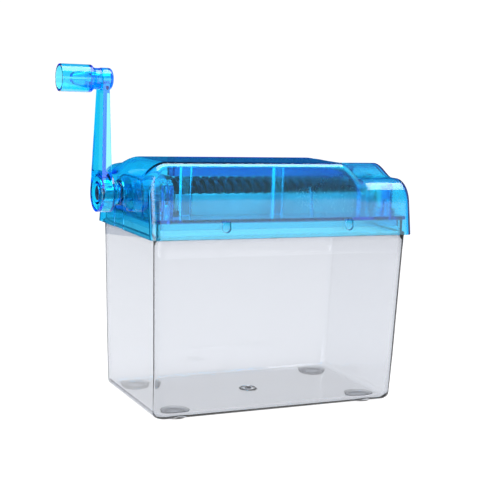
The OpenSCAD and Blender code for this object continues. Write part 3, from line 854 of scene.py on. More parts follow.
@dataclass
class Bin:
    """The clear tapered tub and its four stick-on bumpers."""

    centre_x: float = 19.0
    base: Flat = (159.0, 91.2)
    top: Flat = (166.0, 94.4)
    floor_z: float = 2.0
    shoulder_z: float = 109.0
    rim_z: float = 116.5
    wall: float = 2.0
    corner: float = 5.0
    floor_fillet: float = 4.0
    neck_step: float = 1.6
    steps: int = 12
    foot_inset: Flat = (16.5, 14.0)
    foot_radius: float = 8.75
    groove: float = 0.5
    # Insets of the painted shade ring from the bumper's edge.
    shade_ring_band: Flat = (3.6, 1.8)

    def build(self) -> None:
        """Builds the tub and the bumpers."""
        self._tub()
        self._bumpers()

    def _half(self, z: float, axis: int) -> float:
        """Half the tub's outer size at a height."""
        share = (z - self.floor_z) / (self.shoulder_z - self.floor_z)
        return (self.base[axis] + (self.top[axis] - self.base[axis]) * share) / 2

    def _ring(self, z: float, inset: float, corner: float) -> list[Point]:
        """The tub's outline at a height, moved inward by an inset."""
        flat = rounded_ring(self._half(z, 0) - inset, self._half(z, 1) - inset, max(corner, 0.4), self.steps)
        return [(self.centre_x + x, y, z) for x, y in flat]

    def _disc(self, radius: float, z: float) -> list[Point]:
        """A circle in the floor's middle."""
        return [(self.centre_x + x, y, z) for x, y in round_ring(radius, self.steps)]

    def _tub(self) -> None:
        """Lofts the tub: floor mark, fillets, wall, stepped neck, rim, and back down inside."""
        f, w, fillet, z0 = self.floor_fillet, self.wall, 7, self.floor_z
        under_mark = ((0.5, z0 + 0.2), (1.3, z0 + 0.35), (1.9, z0 + 0.8), (4.6, z0 + 0.8), (5.0, z0))
        rings = [self._disc(r, z) for r, z in under_mark]
        rings.append(self._disc(9.0, z0))
        for k in range(fillet + 1):
            a = math.radians(90 * k / fillet)
            inset = f - f * math.sin(a)
            rings.append(self._ring(z0 + f - f * math.cos(a), inset, self.corner + 1 - inset * 0.5))
        rings += [self._ring(z, 0, self.corner) for z in (30.0, 60.0, 90.0, self.shoulder_z - 0.5)]
        lip = self.neck_step
        rings.append(self._ring(self.shoulder_z, 0.4, self.corner))
        rings.append(self._ring(self.shoulder_z + 0.2, lip - 0.3, self.corner - 1))
        rings.append(self._ring(self.shoulder_z + 0.6, lip, self.corner - 1))
        rim = ((0.6, 0), (0.15, 0.2), (0.0, 0.6), (0.0, w - 0.6), (0.15, w - 0.2), (0.6, w))
        rings += [self._neck(self.rim_z - drop, inset) for drop, inset in rim]
        rings.append(self._neck(self.shoulder_z - w + 0.4, w))
        rings += [self._ring(z, w, self.corner - 1.2) for z in (self.shoulder_z - w - 3.2, 90.0, 60.0, 30.0)]
        g = f - w / 2
        for k in range(fillet, -1, -1):
            a = math.radians(90 * k / fillet)
            z, rise = z0 + w + g - g * math.cos(a), g * math.sin(a)
            rings.append(self._ring(z, w + g - rise, self.corner - (g - rise) * 0.5))
        mark = ((6.4, 0.0), (5.9, 0.0), (5.5, 0.7), (5.0, 0.8), (4.5, 0.2))
        mark += ((2.2, 0.2), (1.8, 1.2), (1.2, 1.5), (0.4, 1.5))
        rings += [self._disc(r, z0 + w + rise) for r, rise in mark]
        tub = linked("bin_tub", Skin().loft(rings).mesh("bin_tub"))
        for spot in self._foot_spots():
            cut(tub, self._groove(spot))
        standing(shaded(tub, Finish.BIN, 40), "bin")

    def _foot_spots(self) -> list[Flat]:
        """Where the four bumpers stand."""
        reach = (self.base[0] / 2 - self.foot_inset[0], self.base[1] / 2 - self.foot_inset[1])
        return [(self.centre_x + sx * reach[0], sy * reach[1]) for sx in (-1, 1) for sy in (-1, 1)]

    @staticmethod
    def _hoop(spot: Flat, loop: Sequence[Flat]) -> Skin:
        """Turns a closed loop of radius and height round an upright line, with a free middle."""
        sides = [math.tau * i / 64 for i in range(64)]
        rings = [[(spot[0] + r * math.cos(a), spot[1] + r * math.sin(a), z) for a in sides] for r, z in loop]
        return Skin().loft(rings, wrap=True)

    def _groove(self, spot: Flat) -> Skin:
        """A shallow ring in the floor's upper face, over the edge of a bumper."""
        low, high = self.floor_z + self.wall - self.groove, self.floor_z + self.wall + 0.5
        inner, outer = self.foot_radius - 0.2, self.foot_radius + 0.6
        return self._hoop(spot, [(inner + 0.25, low), (outer - 0.25, low), (outer, high), (inner, high)])

    def _shade_ring(self) -> bpy.types.Object:
        """One thin near-black ring in the dish between a bumper and the floor: painted shade standing in for
        the dark edge seen round each bumper.
        """
        low, high = self.floor_z - 0.6, self.floor_z - 0.05
        inner, outer = self.foot_radius - self.shade_ring_band[0], self.foot_radius - self.shade_ring_band[1]
        loop = [(inner, low), (outer, low), (outer, high - 0.1), (outer - 0.15, high)]
        loop += [(inner + 0.15, high), (inner, high - 0.1)]
        return linked("seat", self._hoop((0.0, 0.0), loop).mesh("seat"))

    def _neck(self, z: float, inset: float) -> list[Point]:
        """The stepped neck's outline at a height."""
        half = [t / 2 - self.neck_step - inset for t in self.top]
        flat = rounded_ring(half[0], half[1], max(self.corner - 1 - inset * 0.6, 0.6), self.steps)
        return [(self.centre_x + x, y, z) for x, y in flat]

    def _bumpers(self) -> None:
        """Lays the four round bumpers with Geometry Nodes."""
        r = self.foot_radius
        seat = self.floor_z
        outline = [(0, 0, 0), (r - 2.6, 0.0, 1.0), (r - 0.2, 0.7, 0.9), (r, seat - 0.05, 0)]
        dish = [(r - 0.8, seat, 0.3), (r - 1.7, seat - 0.75, 0.5), (0, seat - 0.9, 0)]
        profile = filleted(outline + dish)
        one = linked("bumper", Skin().raised([(max(a, 0.3), b) for a, b in profile], 0, 0).mesh("bumper"))
        spots = [(x, y, 0.0) for x, y in self._foot_spots()]
        standing(scattered("floor_bumpers", one, spots, Finish.BUMPER, "Z"), "bumper_feet")
        # Near-black rings under the bumpers: painted shade.
        shade_rings = scattered("bumper_seats", self._shade_ring(), spots, Finish.SEAT)
        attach(shade_rings, BODY["bumper_feet"])


# --- Repeats --------------------------------------------------------------------------


def modifier_input(tree: bpy.types.NodeTree, modifier: bpy.types.Modifier, name: str, value: Any) -> None:
    """Sets a named input of a Geometry Nodes modifier by its identifier."""
    for item in tree.interface.items_tree:
        if item.item_type == "SOCKET" and item.in_out == "INPUT" and item.name == name:
            modifier[item.identifier] = value


def new_tree(name: str, inputs: Sequence[tuple[str, str]]) -> bpy.types.NodeTree:
    """Makes a Geometry Nodes tree with geometry in and out and named inputs.

    Args:
        name: Name of the tree.
        inputs: Name and socket type of each further input.

    Returns:
        The tree, with its group input and output nodes.
    """
    tree = bpy.data.node_groups.new(name, "GeometryNodeTree")
    tree.interface.new_socket("Geometry", in_out="INPUT", socket_type="NodeSocketGeometry")
    for label, kind in inputs:
        tree.interface.new_socket(label, in_out="INPUT", socket_type=kind)
    tree.interface.new_socket("Geometry", in_out="OUTPUT", socket_type="NodeSocketGeometry")
    tree.nodes.new("NodeGroupInput")
    tree.nodes.new("NodeGroupOutput")
    return tree


def wire(
    tree: bpy.types.NodeTree, kind: str, settings: dict[str, Any], inputs: dict[Any, Any]
) -> bpy.types.Node:
    """Adds a geometry node, sets it up and fills its sockets.

    Args:
        tree: The tree.
        kind: The node's type.
        settings: Its properties.
        inputs: Values or output sockets by socket name or number.

    Returns:
        The node.
    """
    made = tree.nodes.new(kind)
    for key, value in settings.items():
        setattr(made, key, value)
    for key, value in inputs.items():
        if isinstance(value, bpy.types.NodeSocket):
            tree.links.new(value, made.inputs[key])
        else:
            made.inputs[key].default_value = value
    return made


def scatter_tree() -> bpy.types.NodeTree:
    """The tree that sets one piece on every point, each turned by a fixed random angle."""
    found = bpy.data.node_groups.get("pieces_on_points")
    if found:
        return found
    kinds = [("Piece", "NodeSocketObject"), ("Turn Axis", "NodeSocketVector")]
    kinds += [("Seed", "NodeSocketInt"), ("Finish", "NodeSocketMaterial")]
    tree = new_tree("pieces_on_points", kinds)
    group, out = tree.nodes["Group Input"], tree.nodes["Group Output"]
    piece = wire(tree, "GeometryNodeObjectInfo", {}, {"Object": group.outputs["Piece"]})
    turn = wire(tree, "FunctionNodeRandomValue", {"data_type": "FLOAT"}, {"Seed": group.outputs["Seed"]})
    turn.inputs[3].default_value = math.tau
    spin = {0: group.outputs["Turn Axis"], "Scale": turn.outputs[1]}
    axis = wire(tree, "ShaderNodeVectorMath", {"operation": "SCALE"}, spin)
    placed = wire(
        tree,
        "GeometryNodeInstanceOnPoints",
        {},
        {
            "Points": group.outputs["Geometry"],
            "Instance": piece.outputs["Geometry"],
            "Rotation": axis.outputs[0],
        },
    )
    real = wire(tree, "GeometryNodeRealizeInstances", {}, {0: placed.outputs[0]})
    dress = {"Geometry": real.outputs[0], "Material": group.outputs["Finish"]}
    dressed = wire(tree, "GeometryNodeSetMaterial", {}, dress)
    tree.links.new(dressed.outputs[0], out.inputs[0])
    return tree


def scattered(
    name: str, one: bpy.types.Object, spots: Sequence[Point], finish: Finish, turn: str = "", seed: int = 7
) -> bpy.types.Object:
    """Sets a piece on several spots as one mesh.

    Args:
        name: Name of the result.
        one: The piece to repeat, made round the origin; it is removed.
        spots: Places in millimetres.
        finish: The finish of all.
        turn: Axis the copies turn about, or none.
        seed: Seed of the turns.

    Returns:
        The joined mesh object.
    """
    points = bpy.data.meshes.new(name)
    points.from_pydata([Vector(s) * MM for s in spots], [], [])
    holder = linked(name, points)
    tree = scatter_tree()
    modifier = holder.modifiers.new("repeat", "NODES")
    modifier.node_group = tree
    modifier_input(tree, modifier, "Piece", one)
    modifier_input(tree, modifier, "Turn Axis", tuple(float(turn == a) for a in "XYZ"))
    modifier_input(tree, modifier, "Seed", seed)
    modifier_input(tree, modifier, "Finish", finish.material)
    settle(holder)
    bpy.data.objects.remove(one)
    return shaded(holder, finish, 35)


def row_tree() -> bpy.types.NodeTree:
    """The tree that repeats its own mesh along X, each copy turned on about X."""
    found = bpy.data.node_groups.get("pieces_in_a_row")
    if found:
        return found
    kinds = [("Count", "NodeSocketInt"), ("Pitch", "NodeSocketFloat")]
    kinds += [("Turn", "NodeSocketFloat"), ("Finish", "NodeSocketMaterial")]
    tree = new_tree("pieces_in_a_row", kinds)
    group, out = tree.nodes["Group Input"], tree.nodes["Group Output"]
    step = wire(tree, "ShaderNodeCombineXYZ", {}, {0: group.outputs["Pitch"]})
    spread = {"Count": group.outputs["Count"], "Offset": step.outputs[0]}
    line = wire(tree, "GeometryNodeMeshLine", {}, spread)
    index = wire(tree, "GeometryNodeInputIndex", {}, {})
    turns = {0: index.outputs[0], 1: group.outputs["Turn"]}
    angle = wire(tree, "ShaderNodeMath", {"operation": "MULTIPLY"}, turns)
    turned = wire(tree, "ShaderNodeCombineXYZ", {}, {0: angle.outputs[0]})
    placed = wire(
        tree,
        "GeometryNodeInstanceOnPoints",
        {},
        {"Points": line.outputs[0], "Instance": group.outputs["Geometry"], "Rotation": turned.outputs[0]},
    )
    real = wire(tree, "GeometryNodeRealizeInstances", {}, {0: placed.outputs[0]})
    dress = {"Geometry": real.outputs[0], "Material": group.outputs["Finish"]}
    dressed = wire(tree, "GeometryNodeSetMaterial", {}, dress)
    tree.links.new(dressed.outputs[0], out.inputs[0])
    return tree


def in_a_row(
    name: str, one: Skin, start: Point, count: int, pitch: float, finish: Finish, turn: float = 0.0
) -> bpy.types.Object:
    """Repeats a shape along X as one mesh.

    Args:
        name: Name of the result.
        one: The shape, made round the origin.
        start: Where the first copy goes, in millimetres.
        count: Number of copies.
        pitch: Step from one to the next.
        finish: The finish of all.
        turn: Angle in degrees that each copy is turned on from the last.

    Returns:
        The joined mesh object.
    """
    holder = linked(name, one.mesh(name))
    tree = row_tree()
    modifier = holder.modifiers.new("repeat", "NODES")
    modifier.node_group = tree
    modifier_input(tree, modifier, "Count", count)
    modifier_input(tree, modifier, "Pitch", pitch * MM)
    modifier_input(tree, modifier, "Turn", math.radians(turn))
    modifier_input(tree, modifier, "Finish", finish.material)
    settle(holder)
    holder.data.transform(Matrix.Translation(Vector(start) * MM))
    return shaded(holder, finish, 30)


# --- Head -----------------------------------------------------------------------------


def ease(t: float) -> float:
    """Smooth step from 0 to 1."""
    c = min(1.0, max(0.0, t))
    return c * c * (3 - 2 * c)


def bulge(t: float) -> float:
    """Quarter-circle rise from 0 to 1."""
    c = min(1.0, max(0.0, t))
    return math.sqrt(1 - (1 - c) * (1 - c))


@dataclass
class HeadCover:
    """The blue moulded hood, with its raised deck, scooped corner, slots and screw posts."""

    centre_x: float = 19.0
    width: float = 172.0
    depth: float = 99.459
    wall: float = 2.0
    lean: float = 9.8
    skirt_z: float = 107.5
    rim_z: float = 116.5
    plate_top: float = 118.5
    shoulder_z: float = 141.0
    deck_z: float = 151.0
    rear_z: float = 148.5
    rear_fall: float = 3.5
    end_fall: float = 2.0
    shoulder_r: float = 14.0
    shoulder_flat: float = 4.0
    rear_flat: float = 5.2
    deck_edge_r: float = 5.0
    rear_edge_r: float = 12.0
    left_end_r: float = 11.0
    right_end_r: float = 4.0
    corner_r: float = 5.0
    scoop_w: float = 30.0
    slope_w: float = 19.0
    mid_y: float = -0.5
    drive_y: float = 8.5
    shaft_z: float = 128.8
    slot: Flat = (120.0, 6.0)
    slot_x: float = 4.5
    snap_x: float = 40.5
    snap_w: float = 5.5
    snap_z: float = 111.0
    tongue_w: float = 16.5
    boss_place: Flat = (73.0, 36.2297)
    boss_r: float = 3.5
    pilot_r: float = 1.5
    pilot_l: float = 10.0
    rib_x: float = 35.2
    rib_z: Flat = (119.2, 136.5)
    rib_t: float = 1.3

    def __post_init__(self) -> None:
        """Works out the stations that the hood's rules share."""
        self.left_x = -self.width / 2
        self.right_x = self.width / 2
        self.slope_x = self.right_x - self.scoop_w - self.slope_w
        self.rise_y = self.shoulder_r + self.shoulder_flat - self.half_depth(self.shoulder_z)
        self.crest_y = self.mid_y - 4.5
        self.deck_back_y = self.mid_y + self.slot[1] / 2
        self.rear_edge_y = self.depth / 2 - 18
        self.deck_end_y = self.rear_edge_y - self.rear_flat

    def build(self) -> None:
        """Builds the hood and cuts its openings."""
        hood = self._shell(self._rings(0.0), self._rings(self.wall))
        for added in self._bosses() + [self._rib()]:
            cut(hood, added, joined=True)
        for tool in self._boss_holes() + self._paper_slot() + self._tongue_slot() + self._snap_slots():
            cut(hood, tool)
        standing(self._textured(shaded(hood, Finish.COVER, 33)), "head_cover")

    def _textured(self, hood: bpy.types.Object) -> bpy.types.Object:
        """Marks the inner face, past the crank end and above the plate, as finely textured."""
        mesh = hood.data
        start_x = (self.centre_x + self.left_x + 18) * MM
        etched = []
        for vertex in mesh.vertices:
            out = Vector((0, vertex.co.y, vertex.co.z - self.plate_top * MM))
            inner = vertex.normal.dot(out) < 0
            above = vertex.co.z > (self.plate_top + 0.4) * MM
            etched.append(float(inner and vertex.co.x > start_x and above))
        mesh.attributes.new("fine_texture", "FLOAT", "POINT").data.foreach_set("value", etched)
        return hood

    def half_depth(self, z: float) -> float:
        """Half the hood's outer depth at a height."""
        return self.depth / 2 - (z - self.skirt_z) * math.tan(math.radians(self.lean))

    def _base(self, y: float) -> float:
        """Height of the low level."""
        share = (y - self.crest_y) / (self.rear_edge_y - self.crest_y)
        return self.shoulder_z - self.end_fall * max(0.0, share)

    def _end(self, y: float) -> float:
        """Height of the end level, which the scoop runs down to."""
        if y < self.crest_y:
            share = (y - self.rise_y) / (self.crest_y - self.rise_y)
            return self.shoulder_z + (self.rear_z - self.shoulder_z) * ease(share)
        return self.rear_z - self.rear_fall * (y - self.crest_y) / (self.rear_edge_y - self.crest_y)

    def _raised(self, y: float) -> float:
        """Height of the raised deck."""
        share = ease((y - self.deck_back_y) / (self.deck_end_y - self.deck_back_y))
        return self.deck_z + (self._end(y) - self.deck_z) * share

    def _share(self, x: float) -> float:
        """How much of the raised deck stands at x."""
        return 1 - ease((x - self.slope_x) / self.slope_w)

    def _swell(self, x: float, inset: float) -> float:
        """How far the left end has rounded up at x."""
        return bulge((x - self.left_x - inset) / (self.left_end_r - inset))

    def top(self, x: float, y: float, inset: float) -> float:
        """Height of the hood's top surface.

        Args:
            x: Place along the hood.
            y: Place across it.
            inset: Depth below the outer face.

        Returns:
            The height.
        """
        full = self._end(y) + self._share(x) * (self._raised(y) - self._end(y))
        rise = self._base(y) + self._swell(x, inset) * (full - self._base(y)) - inset
        return rise - self.right_end_r * (1 - bulge((self.right_x - inset - x) / self.right_end_r))

    def _corner(self, x: float, inset: float) -> float:
        """How far the upright corners pull the walls in at x."""
        r = self.corner_r - inset / 2
        d = min(x - self.left_x, self.right_x - x) - inset
        return r * (1 - bulge(d / r))

    def _section(self, x: float, inset: float) -> list[Point]:
        """The hood's outline at x, from the front skirt over the top to the rear skirt."""
        lean = math.radians(self.lean)
        wall_in = inset / math.cos(lean) + self._corner(x, inset)
        share = self._share(x) * self._swell(x, inset)
        front_r = self.shoulder_r + share * (self.deck_edge_r - self.shoulder_r) - inset
        front_c = self.top(x, self.rise_y, inset) - front_r
        rear_r = self.rear_edge_r - inset
        rear_c = self.top(x, self.rear_edge_y, inset) - rear_r
        front_y = -self.half_depth(front_c + front_r * math.sin(lean)) + wall_in + front_r * math.cos(lean)
        rear_y = self.half_depth(rear_c + rear_r * math.sin(lean)) - wall_in - rear_r * math.cos(lean)
        low = self.skirt_z
        rows = [self.rise_y + (self.crest_y - self.rise_y) * i / 16 for i in range(17)]
        rows += [self.deck_back_y + (self.deck_end_y - self.deck_back_y) * i / 12 for i in range(13)]
        split = self.plate_top + 0.6
        outline = [(-self.half_depth(low) + wall_in, low), (-self.half_depth(split) + wall_in, split)]
        outline += arc((front_y, front_c), front_r, 180 - self.lean, 90, 18)
        outline += [(y, self.top(x, y, inset)) for y in rows]
        outline += arc((rear_y, rear_c), rear_r, 90, self.lean, 12)
        outline += [(self.half_depth(split) - wall_in, split), (self.half_depth(low) - wall_in, low)]
        return [(self.centre_x + x, y, z) for y, z in outline]

    def _rings(self, inset: float) -> list[list[Point]]:
        """Outlines at every station along the hood."""
        x0, x1, w = self.left_x + inset, self.right_x - inset, self.left_end_r - inset
        stations = [x0 + w * (i / 22) ** 2 for i in range(23)]
        stations += [self.slope_x + self.slope_w * i / 20 for i in range(21)]
        stations += [x1 - self.corner_r * (i / 10) ** 2 for i in range(10, -1, -1)]
        return [self._section(x, inset) for x in stations]

    def _shell(self, outer: list[list[Point]], inner: list[list[Point]]) -> bpy.types.Object:
        """Joins the outer and inner faces along the skirt's lower edge."""
        skin = Skin()
        count = len(outer[0])
        for rings in (outer, inner):
            base = len(skin.points)
            for ring in rings:
                skin.points += ring
            for s in range(len(rings) - 1):
                for i in range(count - 1):
                    a = base + s * count + i
                    skin.faces.append((a, a + 1, a + 1 + count, a + count))
            last = base + (len(rings) - 1) * count
            skin.faces.append(tuple(range(base, base + count)))
            skin.faces.append(tuple(range(last, last + count)))
        far = len(outer) * count
        edge = [s * count for s in range(len(outer))]
        edge += [s * count + count - 1 for s in range(len(outer) - 1, -1, -1)]
        for i, a in enumerate(edge):
            b = edge[(i + 1) % len(edge)]
            skin.faces.append((a, b, b + far, a + far))
        return linked("hood", skin.mesh("hood"))

    def _bosses(self) -> list[Skin]:
        """The four posts that take the hood's screws."""
        made = []
        for sx in (-1, 1):
            for sy in (-1, 1):
                x, y = sx * self.boss_place[0], sy * self.boss_place[1]
                roof = self.top(x, y, 0.0) - self.wall * 0.4
                drop = 4.0 if abs(y) > 30 else 0.0
                top = min(roof, self.shoulder_z - drop)
                column = [(self.boss_r, self.plate_top), (self.boss_r, top)]
                made.append(Skin().raised(column, self.centre_x + x, y, 32))
        return made

    def _rib(self) -> Skin:
        """The short upright rib on the inner face of the front wall."""
        face = [self.wall / math.cos(math.radians(self.lean)) - self.half_depth(z) for z in self.rib_z]
        outline = [(face[0] - 0.6, self.rib_z[0]), (face[0] + self.rib_t, self.rib_z[0])]
        outline += [(face[1] + self.rib_t, self.rib_z[1]), (face[1] - 0.6, self.rib_z[1])]
        return Skin().prism(outline, self.rib_x - self.rib_t / 2, self.rib_x + self.rib_t / 2, "x")

    def _boss_holes(self) -> list[Skin]:
        """The screw holes up the posts."""
        bore = [(self.pilot_r, self.plate_top - 1), (self.pilot_r, self.plate_top + self.pilot_l)]
        return [
            Skin().raised(bore, self.centre_x + sx * self.boss_place[0], sy * self.boss_place[1], 24)
            for sx in (-1, 1)
            for sy in (-1, 1)
        ]

    def _paper_slot(self) -> list[Skin]:
        """The long slot in the deck."""
        half = (self.slot[0] / 2, self.slot[1] / 2)
        outline = rounded_ring(half[0], half[1], 0.8, 5)
        ring = [(self.centre_x + self.slot_x + x, self.mid_y + y) for x, y in outline]
        return [Skin().prism(ring, self.deck_z - 20, self.deck_z + 20)]

    def _tongue_slot(self) -> list[Skin]:
        """The U-shaped slot below the crank shaft."""
        r = self.tongue_w / 2
        outline = [(self.drive_y - r, self.skirt_z - 1)] + [(self.drive_y + r, self.skirt_z - 1)]
        outline += arc((self.drive_y, self.shaft_z), r, 0, 180, 32)
        x0 = self.centre_x + self.left_x
        return [Skin().prism(outline, x0 - 1, x0 + 8, "x")]

    def _snap_slots(self) -> list[Skin]:
        """The four U-shaped slots of the snap tongues."""
        high, w = self.rim_z + 1.0, self.snap_w
        made = []
        for sx in (-1, 1):
            x = self.centre_x + sx * self.snap_x
            outline = [(x + w / 2, high), (x - w / 2, high)]
            outline += arc((x, self.snap_z + w / 2), w / 2, 180, 360, 20)
            for sy in (-1, 1):
                y = sy * self.depth / 2
                made.append(Skin().prism(outline, min(y, y * 0.8) - 1, max(y, y * 0.8) + 1, "y"))
        return made


# --- Chassis --------------------------------------------------------------------------


@dataclass
class Chassis:
    """The frame under the hood: plates, gear cover, posts, combs, chute and spring tongues."""

    centre_x: float = 19.0
    depth: float = 99.459
    skirt_z: float = 107.5
    lean: float = 9.8
    wall: float = 2.0
    rim_z: float = 116.5
    snap: Flat = (40.5, 5.5)
    snap_z: Flat = (111.25, 117.25)
    gap: float = 0.25
    plate_edge: float = 0.4
    frame_edge: float = 0.35
    comb_edge: float = 0.2

    def build(self) -> None:
        """Builds every piece of the frame."""
        softened("chassis_plate", "chassis_tray", Finish.CHASSIS, self.plate_edge)
        softened("left_side_plate", "left_bearing_plate", Finish.INNER, self.frame_edge)
        softened("right_side_plate", "right_bearing_plate", Finish.INNER, self.frame_edge)
        softened("gear_cover", "gear_housing", Finish.HOUSING, self.plate_edge)
        softened("front_posts", "front_uprights", Finish.INNER, self.plate_edge)
        softened("front_comb", "front_stripper", Finish.COMB_STEEL, self.comb_edge)
        softened("rear_comb", "rear_stripper", Finish.COMB_STEEL, self.comb_edge)
        softened("paper_chute", "slot_guide", Finish.CHUTE, self.comb_edge)
        softened("shaft_tongue", "shaft_keeper", Finish.COVER, self.frame_edge)
        self._snaps()

    def _snaps(self) -> None:
        """Builds the four U-shaped spring tongues, leaning with the skirt."""
        skin = Skin()
        for sx in (-1, 1):
            for sy in (-1, 1):
                skin.loft(self._snap_rings(self.centre_x + sx * self.snap[0], sy))
        standing(skin.piece("skirt_snaps", Finish.COVER, 40), "snap_tongues")

    def _snap_rings(self, x: float, side: int) -> list[list[Point]]:
        """Outer edge, outer face, inner face and inner edge of one tongue.

        Args:
            x: Its middle along the skirt.
            side: Front is -1, rear is 1.

        Returns:
            The rings, from the outside in.
        """
        rings = []
        thick = self.wall / math.cos(math.radians(self.lean))
        for inset, ease_in in ((0.0, 0.2), (0.2, 0.0), (thick - 0.2, 0.0), (thick, 0.2)):
            r = self.snap[1] / 2 - self.gap - ease_in
            high = self.snap_z[1] - ease_in
            outline = [(x + r, high), (x - r, high)]
            outline += arc((x, self.snap_z[0] + self.snap[1] / 2 - self.gap), r, 180, 360, 20)
            rings.append([(u, side * (self._half(z) - inset), z) for u, z in outline])
        return rings

    def _half(self, z: float) -> float:
        """Half the skirt's outer depth at a height."""
        return self.depth / 2 - (z - self.skirt_z) * math.tan(math.radians(self.lean))


# --- Rollers and gears ----------------------------------------------------------------


@dataclass
class Roller:
    """One cutter roller: saw-edged discs and plain spacers on its shaft."""

    name: str
    y: float
    first_x: float
    count: int
    finish: Finish
    z: float = 128.8
    disc_r: float = 10.0
    disc_t: float = 2.9
    pitch: float = 6.0
    spacer_r: float = 7.4
    spacer_gap: float = 0.02
    bore_r: float = 3.52
    teeth: int = 18
    notch: float = 0.6
    chamfer: float = 0.25
    twist: float = 7.0

    def build(self) -> None:
        """Builds the discs, the spacers and the shaft."""
        start = (self.first_x, self.y, self.z)
        discs = in_a_row(
            f"{self.name}_cutters", self._disc(), start, self.count, self.pitch, self.finish, self.twist
        )
        standing(discs, f"{self.name}_discs")
        start = (self.first_x + self.disc_t + self.spacer_gap, self.y, self.z)
        sleeves = in_a_row(
            f"{self.name}_sleeves", self._spacer(), start, self.count - 1, self.pitch, self.finish
        )
        standing(sleeves, f"{self.name}_spacers")
        softened(f"{self.name}_shaft", f"{self.name}_axle", Finish.SHAFT_STEEL, 0.4)
        softened(f"{self.name}_gear", f"{self.name}_pinion", Finish.GEAR, 0.15)
        softened(f"{self.name}_clip", f"{self.name}_circlip", Finish.CLIP_STEEL, 0.15)

    def _edge(self, inward: float) -> list[Flat]:
        """The disc's saw-edged outline, moved inward."""
        points = []
        steps = 6
        for tooth in range(self.teeth):
            for k in range(steps):
                share = 0.97 * k / (steps - 1)
                a = math.tau * (tooth + share) / self.teeth
                r = self.disc_r - inward - self.notch * share
                points.append((r * math.cos(a), r * math.sin(a)))
        return points

    def _disc(self) -> Skin:
        """One cutter disc with its left face at the origin."""
        c, t = self.chamfer, self.disc_t
        loop = [(0.0, c), (c, 0.0), (t - c, 0.0), (t, c)]
        rings = [[(x, u, v) for u, v in self._edge(inward)] for x, inward in loop]
        around = [math.atan2(v, u) for u, v in self._edge(0.0)]
        for x in (t, 0.0):
            rings.append([(x, self.bore_r * math.cos(a), self.bore_r * math.sin(a)) for a in around])
        return Skin().loft(rings, wrap=True)

    def _spacer(self) -> Skin:
        """One spacer ring with its left face at the origin."""
        t, r, c = self.pitch - self.disc_t - 2 * self.spacer_gap, self.spacer_r, 0.2
        loop = [(0, self.bore_r), (0, r - c), (c, r), (t - c, r), (t, r - c), (t, self.bore_r)]
        return Skin().turned(loop, 0.0, 0.0, 48, hollow=True)


@dataclass
class Bushes:
    """The four flanged bushes that carry the two shafts."""

    plates_x: Flat = (-47.0, 91.0)
    plate_t: float = 3.0
    shafts_y: Flat = (8.5, -9.5)
    z: float = 128.8
    bore_r: float = 3.55
    body_r: float = 5.5
    flange_r: float = 7.5
    flange_t: float = 0.9

    def build(self) -> None:
        """Turns the four bushes as one piece."""
        skin = Skin()
        for x, way in ((self.plates_x[0], 1), (self.plates_x[1] + self.plate_t, -1)):
            for y in self.shafts_y:
                skin.turned(self._loop(x, way), y, self.z, 56, hollow=True)
        standing(skin.piece("shaft_bearings", Finish.BRASS, 35), "shaft_bushes")

    def _loop(self, x: float, way: int) -> list[Flat]:
        """The bush's section from the plate's outer face at x, pointing way along X."""
        corners = [(-self.flange_t, self.bore_r, 0.2), (-self.flange_t, self.flange_r, 0.25)]
        corners.append((0, self.flange_r, 0))
        corners += [(0, self.body_r, 0), (self.plate_t, self.body_r, 0.3), (self.plate_t, self.bore_r, 0.2)]
        return [(x + way * u, r) for u, r in filleted(corners, closed=True, steps=3)]


# --- Crank ----------------------------------------------------------------------------


